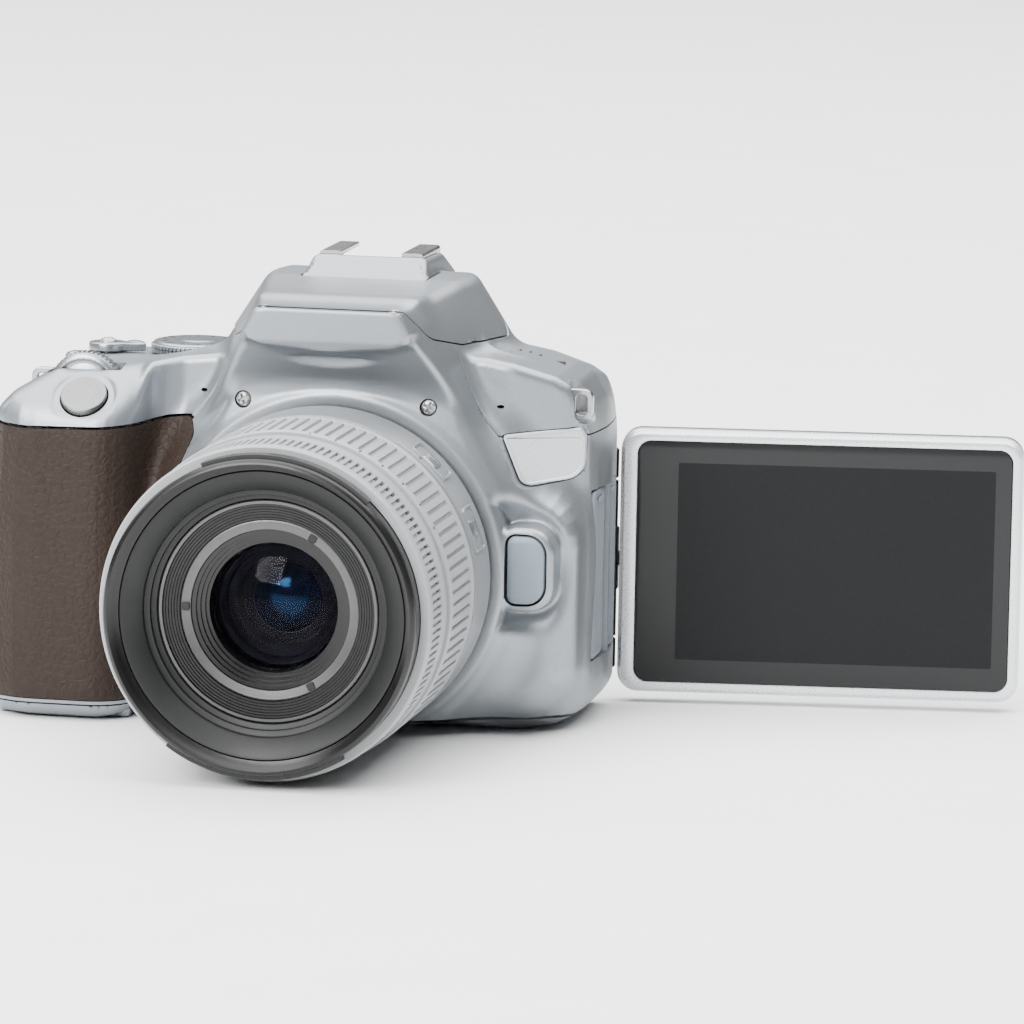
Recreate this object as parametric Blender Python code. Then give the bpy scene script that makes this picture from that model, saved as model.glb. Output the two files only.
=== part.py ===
"""A compact digital SLR camera with its zoom lens and a swing-out screen, as an assembly.

Lengths in this file are millimetres, and the mesh helpers turn them into metres.
+Z is up and the lens looks along -Y. The origin is on the base, under the lens axis,
in the plane of the image sensor. The screen stands open at the +X side and faces forward.
"""

import math

import bmesh
import bpy
from mathutils import Matrix, Vector

MM = 0.001
GAP = 0.3  # running gap between neighbouring solids
OVER = 5.0  # how far a cutter runs past what it cuts

# Body envelope
LEFT, RIGHT = -73.4, 49.0
FRONT, BACK = -31.0, 13.0
GRIP_FRONT = -45.4
TOWER_FRONT = -41.0
FLANGE = -44.0
BROW_FRONT = -50.4
HUMP_TOP = 88.2
HUMP_BACK = 12.4
EYECUP_BACK = 19.6
SHOE_TOP = 92.6
WALL = 2.2
BASE_SPLIT = 3.4  # height of the joint between base cover and the covers above
TOP_SPLIT = 59.6  # height of the joint under the top cover
REAR_SPLIT = 5.0  # depth of the joint in front of the rear cover
INNER_BACK = 6.2  # the covers are hollow up to this depth

# Lens
LENS_Z = 33.35
LENS_FRONT = -105.8
MOUNT_R = 29.6
BARREL_R = 33.0
THROAT_R = 24.0

# Controls
SHUTTER_AT = Vector((-51.4, -40.6, 65.2))
SHUTTER_LEAN = math.radians(41)  # of the button's axis, forward from vertical
SHUTTER_R = 4.8
MAIN_DIAL_AT = (-53.2, -31.4, 65.3)
MAIN_DIAL_R, MAIN_DIAL_THICK = 7.5, 4.6
MODE_DIAL_AT = (-35.3, -11.5)
MODE_DIAL_R = 9.5
MODE_DIAL_SEAT, MODE_DIAL_TOP = 70.6, 75.0
SWITCH_AT = (-53.6, -13.0)
DECK = 70.4  # height of the top cover beside the dials
RELEASE_AT = (38.2, 34.1)  # x, z of the lens release button

# Screen
HINGE_AT = (44.6, 12.4)  # x, y of the upright hinge axis
OPEN_SHORT = math.radians(7)  # the screen opens to 173 degrees, 7 short of straight
SCREEN_Z = 29.2
SCREEN_W, SCREEN_H, SCREEN_T = 81.6, 54.0, 7.0
SCREEN_START = 3.0  # from the hinge axis to the screen's near edge
RECESS_Y = 8.2
KNUCKLE_R = 2.5
PIN_R = 0.9
PIVOT_R = 1.5

# Flash
FLASH_BACK = -5.0  # the flash head turns about its top rear edge, at this y

# Reflex mirror
MIRROR_HINGE = (-9.2, 48.2)  # y, z

LOOKS = {}


def look(name, colour, roughness, metallic=0.0):
    """One Principled material for a finish."""
    material = bpy.data.materials.new(name)
    material.use_nodes = True
    shader = material.node_tree.nodes["Principled BSDF"]
    shader.inputs["Base Color"].default_value = (*colour, 1.0)
    shader.inputs["Roughness"].default_value = roughness
    shader.inputs["Metallic"].default_value = metallic
    LOOKS[name] = material


def clear_scene():
    for obj in list(bpy.data.objects):
        bpy.data.objects.remove(obj)


def set_up_looks():
    look("silver", (0.62, 0.64, 0.67), 0.35, 0.6)
    look("leather", (0.10, 0.065, 0.045), 0.7)
    look("black", (0.02, 0.02, 0.022), 0.45)
    look("steel", (0.7, 0.7, 0.7), 0.25, 1.0)
    look("pale", (0.66, 0.66, 0.66), 0.4)
    look("glass", (0.02, 0.03, 0.04), 0.05)
    look("board", (0.03, 0.12, 0.06), 0.5)


# ---- mesh helpers ---------------------------------------------------------------------


def add_object(name, bm, finish):
    """An object from a bmesh in millimetres."""
    bmesh.ops.recalc_face_normals(bm, faces=bm.faces)
    bmesh.ops.scale(bm, vec=(MM, MM, MM), verts=bm.verts)
    mesh = bpy.data.meshes.new(name)
    bm.to_mesh(mesh)
    bm.free()
    mesh.materials.append(LOOKS[finish])
    obj = bpy.data.objects.new(name, mesh)
    bpy.context.scene.collection.objects.link(obj)
    return obj


def rounded(corners, steps=4):
    """Outline points from (u, v, radius) corners, each round corner as an arc."""
    points = []
    for i, (u, v, radius) in enumerate(corners):
        here = Vector((u, v))
        if not radius:
            points.append((u, v))
            continue
        before = (Vector(corners[i - 1][:2]) - here).normalized()
        after = (Vector(corners[(i + 1) % len(corners)][:2]) - here).normalized()
        half = before.angle(after) / 2
        centre = here + (before + after).normalized() * radius / math.sin(half)
        start = here + before * radius / math.tan(half) - centre
        turn = start.angle_signed(here + after * radius / math.tan(half) - centre)
        count = max(1, round(steps * abs(turn) / (math.pi / 2)))
        for k in range(count + 1):
            spot = centre + start @ Matrix.Rotation(turn * k / count, 2)
            points.append((spot.x, spot.y))
    return points


def prism(name, outline, axis, low, high, finish="silver"):
    """An outline swept along an axis. The outline holds the two other axes in X, Y, Z order."""
    place = {
        "X": lambda u, v: (low, u, v),
        "Y": lambda u, v: (u, low, v),
        "Z": lambda u, v: (u, v, low),
    }[axis]
    bm = bmesh.new()
    face = bm.faces.new([bm.verts.new(place(u, v)) for u, v in outline])
    grown = bmesh.ops.extrude_face_region(bm, geom=[face])["geom"]
    shift = [0.0, 0.0, 0.0]
    shift["XYZ".index(axis)] = high - low
    moved = [g for g in grown if isinstance(g, bmesh.types.BMVert)]
    bmesh.ops.translate(bm, vec=shift, verts=moved)
    return add_object(name, bm, finish)


def loft(name, sections, finish="silver"):
    """A closed skin over (y, outline) sections that have equal numbers of points."""
    bm = bmesh.new()
    rings = [[bm.verts.new((u, y, v)) for u, v in outline] for y, outline in sections]
    for near, far in zip(rings, rings[1:]):
        for i in range(len(near)):
            bm.faces.new((near[i - 1], near[i], far[i]))
            bm.faces.new((near[i - 1], far[i], far[i - 1]))
    bm.faces.new(rings[0])
    bm.faces.new(rings[-1])
    return add_object(name, bm, finish)


def block(name, low, high, finish="silver"):
    """A box from its lowest corner to its highest."""
    outline = [(low[0], low[1]), (high[0], low[1]), (high[0], high[1]), (low[0], high[1])]
    return prism(name, outline, "Z", low[2], high[2], finish)


def turned(name, profile, steps=48, finish="silver"):
    """A closed (radius, y) profile turned about the lens axis."""
    bm = bmesh.new()
    spots = [bm.verts.new((radius, y, LENS_Z)) for radius, y in profile]
    pairs = [(spots[i - 1], spots[i]) for i in range(len(spots))]
    edges = [bm.edges.new(pair) for pair in pairs if max(v.co.x for v in pair) > 0]
    bmesh.ops.spin(
        bm,
        geom=spots + edges,
        cent=(0, 0, LENS_Z),
        axis=(0, 1, 0),
        angle=2 * math.pi,
        steps=steps,
        use_merge=True,
    )
    bmesh.ops.remove_doubles(bm, verts=bm.verts, dist=0.001)
    return add_object(name, bm, finish)


def rod(name, at, direction, radius, length, steps=16, finish="silver", top_radius=None):
    """A cylinder or cone from a point along a direction."""
    bm = bmesh.new()
    bmesh.ops.create_cone(
        bm,
        cap_ends=True,
        segments=steps,
        radius1=radius,
        radius2=radius if top_radius is None else top_radius,
        depth=length,
    )
    turn = Vector((0, 0, 1)).rotation_difference(Vector(direction)).to_matrix().to_4x4()
    middle = Vector(at) + Vector(direction).normalized() * length / 2
    bmesh.ops.transform(bm, matrix=Matrix.Translation(middle) @ turn, verts=bm.verts)
    return add_object(name, bm, finish)


def bake(obj):
    """Turns the modifiers of an object into its mesh."""
    graph = bpy.context.evaluated_depsgraph_get()
    mesh = bpy.data.meshes.new_from_object(obj.evaluated_get(graph))
    obj.modifiers.clear()
    obj.data = mesh
    return obj


def soften(obj, width, segments=1, angle=35):
    """Bevels the edges sharper than an angle."""
    bevel = obj.modifiers.new("soft edges", "BEVEL")
    bevel.width = width * MM
    bevel.segments = segments
    bevel.limit_method = "ANGLE"
    bevel.angle_limit = math.radians(angle)
    return bake(obj)


def combine(obj, tool, operation, keep_tool=False):
    """One Boolean, baked at once."""
    boolean = obj.modifiers.new(operation, "BOOLEAN")
    boolean.operation = operation
    boolean.object = tool
    boolean.solver = "EXACT"
    bake(obj)
    if not keep_tool:
        bpy.data.objects.remove(tool)
    return obj


def cut(obj, *tools):
    for tool in tools:
        combine(obj, tool, "DIFFERENCE")
    return obj


def join(obj, *tools):
    for tool in tools:
        combine(obj, tool, "UNION")
    return obj


def copy_of(obj, name):
    new = obj.copy()
    new.data = obj.data.copy()
    new.name = name
    bpy.context.scene.collection.objects.link(new)
    return new


def set_pivot(obj, at):
    """Moves an object's origin to a point, for a moving piece one on its joint's axis."""
    at = Vector(at) * MM
    obj.data.transform(Matrix.Translation(-at))
    obj.location = at
    return obj


def piece_of(name, form, region):
    """The part of a form that lies inside a region."""
    return combine(copy_of(form, name), region, "INTERSECT")


# ---- body form ------------------------------------------------------------------------


def core_outline(inset=0.0, lift=0.0):
    """The body's front view, without the prism hump."""
    return rounded(
        [
            (LEFT + 0.2 + inset, lift, 7),
            (RIGHT - inset, lift, 9),
            (RIGHT - inset, 57 - inset / 2, 6),
            (44.5 - inset / 2, 69.4 - inset, 3.5),
            (29, 74 - inset, 0),
            (-26, 73.4 - inset, 0),
            (-33, 72.8 - inset, 0),
            (-46, DECK - inset, 0),
            (-59, DECK - inset, 3),
            (-67.2, 64.2 - inset, 3.5),
            (LEFT + 0.2 + inset, 55 - inset / 2, 5),
        ],
        steps=3,
    )


def grip_plan(inset=0.0):
    """The grip seen from above."""
    return rounded(
        [
            (LEFT + inset, -8, 0),
            (LEFT + inset, GRIP_FRONT + inset, 13),
            (-44 - inset, GRIP_FRONT + inset, 8),
            (-38.5 - inset, FRONT - 1 + inset, 0),
            (-30, FRONT - 1 + inset, 0),
            (-30, -8, 0),
        ],
        steps=3,
    )


def tower_outline(inset=0.0):
    """The lens mount's tower, with the fuller lower corner beside it."""
    return [
        (-29 + inset, 2.4 + inset),
        (36, 2.4 + inset),
        (43 - inset, 8),
        (45 - inset, 24),
        (44.4 - inset, 43),
        (31 - inset, 54),
        (24.5 - inset, 71),
        (17.5 - inset, 81),
        (15.5 - inset, 84.4 - inset),
        (-15.5 + inset, 84.4 - inset),
        (-17.5 + inset, 81),
        (-26 + inset, 60),
        (-31 + inset, 42),
    ]


def hump_outline(inset=0.0):
    """The prism housing from the front."""
    return rounded(
        [
            (-31 + inset, 68 + inset, 0),
            (31 - inset, 68 + inset, 0),
            (27.5 - inset, 77, 0),
            (20.5 - inset, HUMP_TOP - inset, 4),
            (-20.5 + inset, HUMP_TOP - inset, 4),
            (-27.5 + inset, 77, 0),
        ],
        steps=3,
    )


def hump_plan(inset=0.0):
    """The prism housing from above, narrow at the front."""
    front = BROW_FRONT + 2.4 + inset
    return [
        (-14.5 + inset, front),
        (14.5 - inset, front),
        (32 - inset, -12),
        (32 - inset, 0),
        (25 - inset, HUMP_BACK - inset),
        (-25 + inset, HUMP_BACK - inset),
        (-32 + inset, 0),
        (-32 + inset, -12),
    ]


def hump_side(inset=0.0):
    """The prism housing from the side."""
    front = BROW_FRONT - OVER
    return [
        (front, 64),
        (front, 84.9 - inset),
        (-17, HUMP_TOP - inset),
        (-1, HUMP_TOP - inset),
        (HUMP_BACK + OVER, 83 - inset),
        (HUMP_BACK + OVER, 64),
    ]


def hump_form(name, inset=0.0):
    """The prism housing as what its three views have in common."""
    form = prism(name, hump_outline(inset), "Y", BROW_FRONT, HUMP_BACK + 1)
    form = combine(form, prism("plan", hump_plan(inset), "Z", 60 + inset, 95), "INTERSECT")
    return combine(form, prism("side", hump_side(inset), "X", -50, 50), "INTERSECT")


def brow_outline():
    """The plate over the lens, wider than it is tall."""
    return [
        (-16.4, 81.0),
        (-14.2, 85.2),
        (14.2, 85.2),
        (16.4, 81.0),
        (12, 78.1),
        (0, 76.9),
        (-12, 78.1),
    ]


def grip_slope(inset=0.0):
    """What is planed off the grip's top so that the shutter button faces up and forward."""
    slope = math.tan(SHUTTER_LEAN)
    y, z = SHUTTER_AT.y, SHUTTER_AT.z - inset
    outline = [
        (y + 6, z + 6 * slope),
        (y - 20, z - 20 * slope),
        (y - 20, z + 20),
        (y + 6, z + 20),
    ]
    return prism("slope", outline, "X", LEFT - OVER, -30)


def grip_shoulder(inset=0.0):
    """What is planed off the grip's outer top corner, just under the core's own shoulder."""
    drop = inset + 0.2
    outline = [
        (LEFT - OVER, 48 - drop),
        (LEFT - 0.3, 54.6 - drop),
        (-70.2, 60.2 - drop),
        (-66.8, 64.6 - drop),
        (-60.4, 69 - drop),
        (-56, DECK + OVER),
        (LEFT - OVER, DECK + OVER),
    ]
    return prism("shoulder", outline, "Y", GRIP_FRONT - OVER, 0)


def core_form():
    """The main block of the body, drawn in towards the back."""
    sections = [(FRONT, core_outline()), (-1.3, core_outline()), (BACK, core_outline(2.6, 0))]
    return loft("form", sections)


def outer_form():
    """The closed camera body, all covers in one."""
    form = soften(core_form(), 2.5, 2, 60)
    grip = prism("grip", grip_plan(), "Z", 0.1, DECK - 0.3)
    grip = cut(soften(grip, 2.0, 1, 60), grip_slope(), grip_shoulder())
    tower = soften(prism("tower", tower_outline(), "Y", TOWER_FRONT, FRONT + 4), 2.2, 2)
    hump = soften(hump_form("hump"), 1.6, 1, 25)
    brow = soften(prism("brow", brow_outline(), "Y", BROW_FRONT, -37), 0.8)
    return join(form, tower, hump, shoe_bump(), brow, grip)


def hollows():
    """The spaces inside the covers. No two of them share a plane."""
    core = prism("hollow", core_outline(WALL + 0.8, WALL), "Y", FRONT + WALL, INNER_BACK)
    grip = prism("hollow", grip_plan(WALL + 0.2), "Z", WALL + 0.2, 64)
    cut(grip, grip_slope(WALL + 1.2), grip_shoulder(WALL + 1.2))
    tower = prism("hollow", tower_outline(WALL + 1), "Y", TOWER_FRONT + 2.4, FRONT + 5)
    hump = hump_form("hollow", WALL + 0.3)
    return core, grip, tower, hump


def flash_side_view(gap=0.0):
    """The flash head's lower edge and ends from the side."""
    y = FLASH_BACK
    return [
        (BROW_FRONT - OVER, 85.6 + gap),
        (BROW_FRONT + 2.6 + gap, 85.6 + gap),
        (-42 + gap, 79.6 + gap),
        (-30, 77.2 + gap),
        (y - 4, 76.8 + gap),
        (y - gap, 79),
        (y - gap, 95),
        (BROW_FRONT - OVER, 95),
    ]


def shoe_bump(gap=0.0):
    """The raised seat of the hot shoe."""
    outline = [
        (-17.2 - gap, 74),
        (-17.2 - gap, 87.4),
        (-12 - gap, 91.8 + gap),
        (4, 91.4 + gap),
        (10, 87.6),
        (10, 74),
    ]
    return prism("bump", outline, "X", -12.8 - gap, 12.8 + gap)


def crown_region(gap):
    """The front cover's share above the top cover's joint."""
    outline = [
        (-29.5 - gap, TOP_SPLIT - OVER),
        (-27.5 - gap, TOP_SPLIT),
        (-18.6 - gap, 80),
        (-18.6 - gap, 91),
        (18.6 + gap, 91),
        (18.6 + gap, 80),
        (26 + gap, 70),
        (30.5 + gap, TOP_SPLIT - OVER),
    ]
    return prism("region", outline, "Y", BROW_FRONT - OVER, -33 + gap)


def flash_region(gap):
    """The flash head's share of the prism housing, on both sides of the shoe's seat."""
    return cut(prism("region", flash_side_view(gap), "X", -40, 40), shoe_bump(gap))


def make_covers():
    """The silver covers, sliced from one form, with a gap at each joint, and hollowed."""
    form = outer_form()
    g = GAP / 2
    far = 200
    base = piece_of("base_cover", form, block("region", (-far,) * 3, (far, far, BASE_SPLIT - g)))
    cut(form, block("region", (-far,) * 3, (far, far, BASE_SPLIT + g)))
    flash = piece_of("flash_head", form, flash_region(g))
    cut(form, flash_region(-g))
    above = (-far, -far, TOP_SPLIT)
    top = piece_of("top_cover", form, block("region", above, (far,) * 3))
    cut(top, crown_region(g), block("region", above, (far, far, TOP_SPLIT + g)))
    low = block("region", (-far, -far, 0), (far, REAR_SPLIT - g, TOP_SPLIT - g))
    front = piece_of("front_cover", form, join(low, crown_region(-g)))
    rear_low = (-far, REAR_SPLIT + g, 0)
    rear = piece_of("rear_cover", form, block("region", rear_low, (far, far, TOP_SPLIT - g)))
    bpy.data.objects.remove(form)
    spaces = hollows()
    for cover in (base, flash, top, front, rear):
        for space in spaces:
            combine(cover, space, "DIFFERENCE", keep_tool=True)
    for space in spaces:
        bpy.data.objects.remove(space)
    set_pivot(flash, (0, FLASH_BACK, HUMP_TOP))
    return front, base, rear, top


# ---- fittings -------------------------------------------------------------------------


def disc_cut(x, y, z, direction, radius, depth):
    """A round cutter centred on a point."""
    way = Vector(direction).normalized()
    return rod("cutter", Vector((x, y, z)) - way * depth / 2, way, radius, depth, 24)


def push_button(name, at, direction, radius, length, finish="silver", steps=16):
    """A round button whose cap edge is softened."""
    button = rod(name, at, direction, radius, length, steps, finish)
    return set_pivot(soften(button, 0.35, 1, 60), at)


def make_shutter_button(top):
    way = Vector((0, -math.sin(SHUTTER_LEAN), math.cos(SHUTTER_LEAN)))
    at = SHUTTER_AT - way * 3.2
    cut(top, rod("hole", at - way * 3, way, SHUTTER_R + GAP, 12, 28))
    push_button("shutter_button", at, way, SHUTTER_R, 4.4, "steel", 28)


def knurled(name, centre, axis, radius, low, high, teeth, depth, finish="silver"):
    """A wheel with grooves round its rim."""
    outline = []
    for k in range(teeth):
        for share, r in ((0.0, radius), (0.5, radius), (0.6, radius - depth), (0.9, radius - depth)):
            angle = 2 * math.pi * (k + share) / teeth
            outline.append((centre[0] + r * math.cos(angle), centre[1] + r * math.sin(angle)))
    return prism(name, outline, axis, low, high, finish)


def make_dials(top):
    x, y, z = MAIN_DIAL_AT
    half = MAIN_DIAL_THICK / 2
    slot_low = (x - MAIN_DIAL_R - 0.5, y - half - GAP, z - MAIN_DIAL_R - 0.6)
    cut(top, block("slot", slot_low, (x + MAIN_DIAL_R + 0.5, y + half + GAP, 80)))
    dial = knurled("main_dial", (x, z), "Y", MAIN_DIAL_R, y - half, y + half, 24, 0.35)
    set_pivot(dial, MAIN_DIAL_AT)
    x, y = MODE_DIAL_AT
    seat = MODE_DIAL_SEAT
    cut(top, disc_cut(x, y, seat + 5, (0, 0, 1), MODE_DIAL_R + 0.6, 10))
    cut(top, disc_cut(x, y, seat, (0, 0, 1), 2.5, 12))
    dial = knurled("mode_dial", (x, y), "Z", MODE_DIAL_R, seat + GAP, MODE_DIAL_TOP, 36, 0.3)
    join(dial, rod("shaft", (x, y, seat - 3), (0, 0, 1), 2.2, 4))
    set_pivot(dial, (x, y, seat))
    x, y = SWITCH_AT
    cut(top, disc_cut(x, y, DECK, (0, 0, 1), 2.0, 12))
    low = DECK + GAP
    lever = rod("power_switch", (x, y, low), (0, 0, 1), 3.6, 2.2, 20)
    arm = [(x, y - 2.6), (x + 7.1, y - 1.0), (x + 7.9, y), (x + 7.1, y + 1.0), (x, y + 2.6)]
    arm = prism("arm", arm, "Z", low + 0.3, low + 1.7)
    join(lever, arm, rod("pin", (x, y, DECK - 4), (0, 0, 1), 1.7, 6))
    set_pivot(lever, (x, y, DECK))


def make_top_buttons(top):
    for name, x, y in (("iso_button", -57.5, -22.5), ("display_button", -50.5, -3.5)):
        cut(top, disc_cut(x, y, DECK, (0, 0, 1), 2.4 + GAP, 14))
        push_button(name, (x, y, DECK - 3.6), (0, 0, 1), 2.4, 4.6)


def make_rear_buttons(rear, top):
    """The round keys on the back, all pressed forward."""
    keys = (
        ("menu_button", -30.0, 64.5, 2.3),
        ("info_button", -22.0, 64.5, 2.3),
        ("live_view_button", 22.5, 64.5, 2.6),
        ("exposure_lock_button", -56.0, 64.0, 2.0),
        ("aperture_button", -50.0, 50.0, 2.4),
        ("playback_button", -50.0, 16.0, 2.4),
        ("erase_button", -64.0, 16.0, 2.4),
    )
    for name, x, z, radius in keys:
        cover = top if z > TOP_SPLIT else rear
        cut(cover, disc_cut(x, BACK, z, (0, 1, 0), radius + GAP, 24))
        push_button(name, (x, BACK - 4.6, z), (0, 1, 0), radius, 5.4, "black")
    x, z = -58.0, 33.0
    cut(rear, disc_cut(x, BACK, z, (0, 1, 0), 9.0 + GAP, 24))
    ring = push_button("cross_keys", (x, BACK - 4.6, z), (0, 1, 0), 9.0, 5.4, "black", 32)
    cut(ring, disc_cut(x, BACK, z, (0, 1, 0), 3.4 + GAP, 24))
    push_button("set_button", (x, BACK - 4.6, z), (0, 1, 0), 3.4, 5.6, "black")


def make_release_button(front):
    """The lens release: a tall rounded key beside the mount."""
    x, z = RELEASE_AT

    def outline(grow):
        return rounded(
            [
                (x - 3.6 - grow, z - 7.0 - grow, 1.6),
                (x + 3.6 + grow, z - 7.0 - grow, 3.0),
                (x + 3.6 + grow, z + 7.0 + grow, 3.4),
                (x - 3.6 - grow, z + 7.0 + grow, 1.6),
            ],
            steps=3,
        )

    cut(front, prism("hole", outline(GAP), "Y", -50, FRONT + 3))
    button = prism("lens_release_button", outline(0), "Y", TOWER_FRONT - 0.8, FRONT)
    set_pivot(soften(button, 0.8, 2, 60), (x, FRONT, z))


def make_mount(front):
    """The camera's steel bayonet ring, set in the tower."""
    cut(front, disc_cut(0, -40, LENS_Z, (0, 1, 0), MOUNT_R + GAP, 30))
    turned(
        "mount_ring",
        [
            (THROAT_R + 3.0, FLANGE),
            (MOUNT_R, FLANGE),
            (MOUNT_R, -38.5),
            (THROAT_R + 3.4, -38.5),
            (THROAT_R + 3.4, -41),
            (THROAT_R + 3.0, -41),
        ],
        40,
        "steel",
    )


def make_badge(front):
    """The blank badge beside the mount."""
    outline = rounded(
        [(31.5, 59, 0.8), (45, 59, 0.8), (45.4, 51.5, 3.0), (34.5, 48.5, 3.0)], steps=2
    )
    prism("badge_plate", outline, "Y", -33.2, -29.5)
    grown = rounded(
        [(30.3, 62, 0.8), (45.2, 62, 0.8), (45.7, 51.2, 3.0), (34.2, 48.2, 3.0)], steps=2
    )
    cut(front, prism("hole", grown, "Y", -60, -28))


def make_screws(front):
    for side, name in ((-1, "front_screw_left"), (1, "front_screw_right")):
        at = (side * 18.7, TOWER_FRONT + 0.2, 66.0)
        cut(front, disc_cut(*at, (0, 1, 0), 1.75, 3.0))
        screw = rod(name, (at[0], at[1] + 0.9, at[2]), (0, -1, 0), 1.45, 0.9, 14, "steel")
        cross = []
        arm, half = 0.8, 0.2
        for turn in range(4):
            c, s = math.cos(turn * math.pi / 2), math.sin(turn * math.pi / 2)
            for u, v in ((arm, -half), (arm, half), (half, half)):
                cross.append((at[0] + u * c - v * s, at[2] + u * s + v * c))
        cut(screw, prism("cross", cross, "Y", at[1] - 1, at[1] + 0.45))


def make_hot_shoe(top):
    """The flash shoe: a plate with two inturned lips, in a channel open to the back."""
    front, back = -10.8, 6.2
    out, lip, low = 10.6, 6.4, 88.7
    channel = (-out - GAP, front - GAP, low - GAP)
    cut(top, block("channel", channel, (out + GAP, BACK + OVER, SHOE_TOP + OVER)))
    section = [
        (-out, low),
        (out, low),
        (out, SHOE_TOP),
        (lip, SHOE_TOP),
        (lip, SHOE_TOP - 1.0),
        (out - 1.1, SHOE_TOP - 1.0),
        (out - 1.1, low + 0.7),
        (-out + 1.1, low + 0.7),
        (-out + 1.1, SHOE_TOP - 1.0),
        (-lip, SHOE_TOP - 1.0),
        (-lip, SHOE_TOP),
        (-out, SHOE_TOP),
    ]
    prism("hot_shoe", section, "Y", front, back, "steel")


def make_strap_lugs(top):
    """Two slotted steel lugs, each in a notch of the top cover."""
    for name, x_in, x_out, y, z in (
        ("strap_lug_right", 40.5, 47.8, -20.0, 66.0),
        ("strap_lug_left", -63.8, -70.6, -8.0, 64.4),
    ):
        side = math.copysign(1, x_out)
        corner = (x_out + side * OVER, y + 1.4, z + 10)
        start = (x_in + side * 1.6, y - 4.0, z - 5.2)
        low = tuple(map(min, start, corner))
        high = tuple(map(max, start, corner))
        cut(top, block("notch", low, high))
        outline = rounded(
            [
                (x_in, z - 4.2, 0),
                (x_out, z - 4.2, 1.6),
                (x_out, z + 2.4, 1.6),
                (x_in, z + 2.4, 0),
            ][:: int(side)],
            steps=2,
        )
        lug = prism(name, outline, "Y", y - 2.4, y - 0.9, "steel")
        slot_a, slot_b = sorted((x_out - side * 3.4, x_out - side * 1.2))
        cut(lug, block("slot", (slot_a, y - 5, z - 3), (slot_b, y + 3, z + 1.2)))
        seat_a, seat_b = sorted((x_in - side * 0.4, x_in + side * 3))
        seat_low = (seat_a, y - 2.4 - GAP, z - 4.2 - GAP)
        cut(top, block("seat", seat_low, (seat_b, y - 0.6, z + 2.7)))


def make_viewfinder(top):
    """Eyepiece glass, rubber eyecup and the dioptre wheel."""
    z = 74.5
    cut(top, block("window", (-9.3, 4, z - 6.3), (9.3, 30, z + 6.3)))
    block("eyepiece_lens", (-9, 8.5, z - 6), (9, 10.5, z + 6), "glass")

    def frame(w, h, r):
        return rounded([(-w, z - h, r), (w, z - h, r), (w, z + h, r), (-w, z + h, r)], 3)

    cup = prism("eyecup", frame(14.5, 10.2, 4), "Y", BACK + GAP, EYECUP_BACK, "black")
    soften(cup, 1.6, 2, 60)
    cut(cup, prism("eye", frame(9.0, 6.0, 2), "Y", 0, 40))
    x = 17.4
    cut(top, disc_cut(x, BACK, 81.0, (0, 1, 0), 2.6, 8))
    dial = knurled("dioptre_dial", (x, 81.0), "Y", 2.3, BACK - 3.6, BACK + 0.6, 12, 0.25, "black")
    set_pivot(dial, (x, BACK, 81.0))


def make_base(base):
    """Tripod bush, battery door with its latch."""
    cut(base, disc_cut(0, -16, 0, (0, 0, 1), 6.3, 20))
    bush = rod("tripod_socket", (0, -16, 0), (0, 0, 1), 6.0, 6.4, 32, "steel")
    cut(bush, rod("thread", (0, -16, -1), (0, 0, 1), 3.1, 6.6, 24))
    low, high = (-69.5, -38.0), (-42.0, 2.5)
    cut(base, block("hole", (low[0], low[1], -5), (high[0], high[1], 9)))
    g = GAP
    door = block(
        "battery_door", (low[0] + g, low[1] + g, 0.3), (high[0] - g, high[1] - g, 2.6)
    )
    soften(door, 0.3, 1, 60)
    set_pivot(door, (high[0] - g, 0, 0.3))
    latch_low, latch_high = (-67.6, -22.0), (-62.4, -12.0)
    cut(door, block("seat", (*latch_low, -1), (*latch_high, 1.7)))
    block(
        "battery_latch",
        (latch_low[0] + 1.6, latch_low[1] + g, 0.5),
        (latch_high[0] - g, latch_high[1] - g, 1.4),
        "black",
    )
    block("battery", (-66.4, -36.6, 4.0), (-51.0, -0.6, 53.2), "black")
    block("memory_card", (-48.6, -30.0, 4.0), (-46.5, -6.0, 36.0), "black")


def make_jack_covers(front):
    """Two rubber flaps over the sockets on the left-hand side."""
    for name, low_y, high_y, low_z, high_z in (
        ("jack_cover_front", -23.0, -12.0, 14.0, 48.0),
        ("jack_cover_rear", -10.6, 0.4, 14.0, 48.0),
    ):
        outer = rounded(
            [
                (low_y, low_z, 2.0),
                (high_y, low_z, 2.0),
                (high_y, high_z, 2.0),
                (low_y, high_z, 2.0),
            ],
            steps=2,
        )
        grown = [
            (u + math.copysign(GAP, u - (low_y + high_y) / 2),
             v + math.copysign(GAP, v - (low_z + high_z) / 2))
            for u, v in outer
        ]
        cut(front, prism("hole", grown, "X", RIGHT - 1.6, RIGHT + OVER))
        flap = prism(name, outer, "X", RIGHT - 1.3, RIGHT, "pale")
        set_pivot(flap, (RIGHT, low_y, low_z))


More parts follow.
